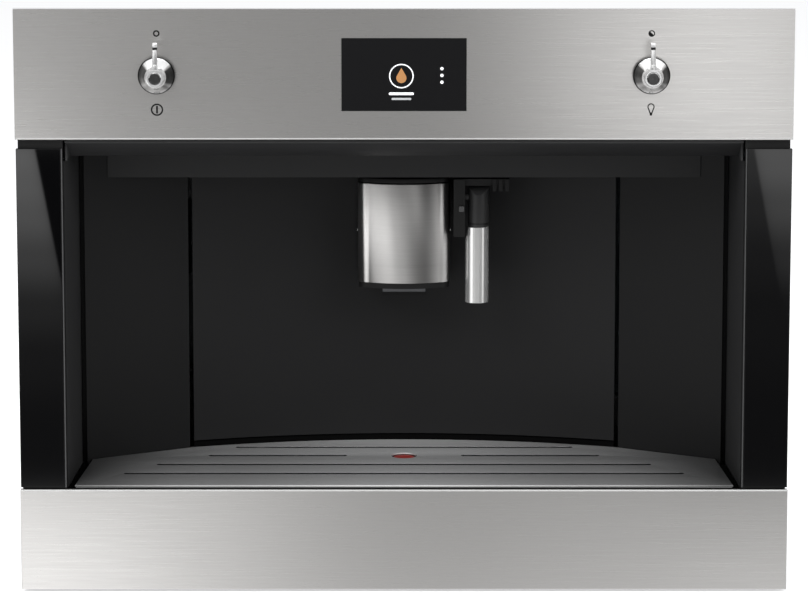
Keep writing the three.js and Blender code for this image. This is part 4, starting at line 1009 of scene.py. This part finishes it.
symbols = {"upper": 436.3, "power": 377.7, "bulb": 377.8, "depth": -0.02}
left, right = -knobSpot[0], knobSpot[0]
upper, power, bulb, ink = symbols["upper"], symbols["power"], symbols["bulb"], "inkBlack"
bulbGlass = [
    [*circlePoints(right, bulb + 2.1, radius, count, -28, 236), (right - foot, bulb - low),
     (right + foot, bulb - low)]
    for radius, count, foot, low in ((2.75, 40, 1, 3.2), (1.9, 36, 0.35, 2.2))]
printed("panelMarks", {    # rings, a power mark and a bulb
    "ring": (ink, [circlePoints(left, upper, 2.55, 48), circlePoints(left, upper, 1.4, 40)]),
    "power": (ink, [circlePoints(left, power, 4.75, 64), circlePoints(left, power, 3.55, 56)]),
    "powerBar": (ink, [roundedOutline(left - 0.72, power - 3, left + 0.72, power + 3, 0.6)]),
    "strength": (ink, [circlePoints(right, upper, 2.55, 48), circlePoints(right, upper, 1.75, 30, -38, 166)]),
    "bulbGlass": (ink, bulbGlass),
    "bulbBase": (ink, [roundedOutline(right - 0.95, bulb - 4.6, right + 0.95, bulb - 2.9, 0.35)]),
}, symbols["depth"], "control_panel")

screen = {"depth": 0.16, "dropX": -2, "dropHeight": 403.6, "ring": 9.4, "line": 0.9, "dotX": 29,
          "dotHeights": (409.3, 404.1, 398.9)}
dropX, dropHeight, ring = screen["dropX"], screen["dropHeight"], screen["ring"]
printed("screenGraphics", {    # a drop in a ring, bars where a text may stand, and three dots
    "dropRing": ("screenWhite", [circlePoints(dropX, dropHeight, ring, 64),
                                 circlePoints(dropX, dropHeight, ring - screen["line"], 64)]),
    "drop": ("screenAmber", [[*circlePoints(dropX, dropHeight - 1.5, 3.9, 36, 150, 240),
                              (dropX, dropHeight + 6.4)]]),
    "titleBar": ("screenWhite", [roundedOutline(-11.6, 389, 7.6, 391, 0.95)]),
    "subtitleBar": ("screenGrey", [roundedOutline(-9.6, 385.2, 5.6, 386.8, 0.75)]),
    **{f"menuDot{number}": ("screenWhite", [circlePoints(screen["dotX"], height, 1.25, 28)])
       for number, height in enumerate(screen["dotHeights"])},
}, screen["depth"], "display_glass")
print("marks ready")


# ---- repeats: one Geometry Nodes tree sets screws along a line, another balls

def rowTree(name, makeItem):
    tree = bpy.data.node_groups.new(name, "GeometryNodeTree")
    for label, kind in (("Count", "Int"), ("Start", "Vector"), ("Step", "Vector"), ("Turn", "Vector"),
                        ("Radius", "Float"), ("Height", "Float"), ("Material", "Material")):
        tree.interface.new_socket(label, in_out="INPUT", socket_type=f"NodeSocket{kind}")
    tree.interface.new_socket("Geometry", in_out="OUTPUT", socket_type="NodeSocketGeometry")
    given = tree.nodes.new("NodeGroupInput").outputs
    line = addNode(tree, "GeometryNodeMeshLine", Count=given["Count"], Start_Location=given["Start"],
                   Offset=given["Step"])
    spread = addNode(tree, "GeometryNodeInstanceOnPoints", Points=line.outputs["Mesh"],
                     Instance=makeItem(tree, given), Rotation=given["Turn"])
    real = addNode(tree, "GeometryNodeRealizeInstances", Geometry=spread.outputs["Instances"])
    paint = addNode(tree, "GeometryNodeSetMaterial", Geometry=real.outputs["Geometry"],
                    Material=given["Material"])
    addNode(tree, "NodeGroupOutput", Geometry=paint.outputs["Geometry"])
    return tree


def screwItem(tree, given):    # a domed head with a cross cut into it
    radius, height = given["Radius"], given["Height"]
    head = addNode(tree, "GeometryNodeMeshCone", Vertices=28, Side_Segments=2, Depth=height,
                   Radius_Bottom=radius, Radius_Top=times(radius, 0.72))
    cross = tree.nodes.new("GeometryNodeJoinGeometry")
    for along, across in ((1.1, 0.24), (0.24, 1.1)):
        size = addNode(tree, "ShaderNodeCombineXYZ", X=times(radius, along), Y=times(radius, across),
                       Z=times(height, 1.2))
        bar = addNode(tree, "GeometryNodeMeshCube", Size=size.outputs["Vector"])
        tree.links.new(bar.outputs["Mesh"], cross.inputs["Geometry"])
    lift = addNode(tree, "ShaderNodeCombineXYZ", Z=height).outputs["Vector"]
    lifted = addNode(tree, "GeometryNodeTransform", Geometry=cross.outputs["Geometry"], Translation=lift)
    carved = addNode(tree, "GeometryNodeMeshBoolean", "DIFFERENCE", Mesh_1=head.outputs["Mesh"],
                     Mesh_2=lifted.outputs["Geometry"])
    return carved.outputs["Mesh"]


def ballItem(tree, given):
    ball = addNode(tree, "GeometryNodeMeshIcoSphere", Subdivisions=3, Radius=given["Radius"])
    return ball.outputs["Mesh"]


trees = {"screws": rowTree("screwRow", screwItem), "balls": rowTree("ballRow", ballItem)}


def row(name, kind, node, start, step, count, radius, turn=(0, 0, 0), finish="screwSteel"):
    piece = newPiece(name, bpy.data.meshes.new(name), finish)
    modifier = piece.modifiers.new("row", "NODES")
    modifier.node_group = trees[kind]
    values = {"Count": count, "Start": list(start), "Step": [c * mm for c in step],
              "Turn": [math.radians(c) for c in turn], "Radius": radius * mm,
              "Height": screws["height"] * mm, "Material": finishes[finish]}
    for item in trees[kind].interface.items_tree:
        if item.item_type == "SOCKET" and item.in_out == "INPUT":
            modifier[item.identifier] = values[item.name]
    applied(piece)
    piece.data.shade_smooth()
    piece.data.set_sharp_from_angle(angle=math.radians(30))
    return settle(piece, beside=node)


screws = {"radius": 2.4, "height": 0.8}
screwRows = {    # start in the front's own frame, step, count, turn
    "rearTop": ((-262, 376.9, 407), (131, 0, 0), 5, (-90, 0, 0)),
    "rearLow": ((-256, 376.9, 6), (128, 0, 0), 5, (-90, 0, 0)),
    "rearLeft": ((-271, 376.9, 110), (0, 0, 90), 3, (-90, 0, 0)),
    "rearRight": ((271, 376.9, 110), (0, 0, 90), 3, (-90, 0, 0)),
    "coverLeft": ((-271, 40, 414.4), (0, 80, 0), 5, (0, 0, 0)),
    "coverRight": ((271, 40, 414.4), (0, 80, 0), 5, (0, 0, 0)),
}
for name, (start, step, count, turn) in screwRows.items():
    row(f"screws_{name}", "screws", "top_cover", at(*start), step, count, screws["radius"], turn)
runnerBalls = {"y": -146, "step": 24, "count": 14,    # rows: x, z and radius in the runners' own frame
               "rows": ((273, 22.6, 1.3), (273, 62.4, 1.3), (272.2, 27.1, 1.6), (272.2, 57.9, 1.6))}
for side, sign in (("left", -1), ("right", 1)):
    for number, (x, z, radius) in enumerate(runnerBalls["rows"]):
        row(f"balls_{side}_{number}", "balls", f"runner_middle_{side}",
            Vector((sign * x, runnerBalls["y"], z)) * mm, (0, runnerBalls["step"], 0), runnerBalls["count"],
            radius, finish="chrome")
print("repeats ready")
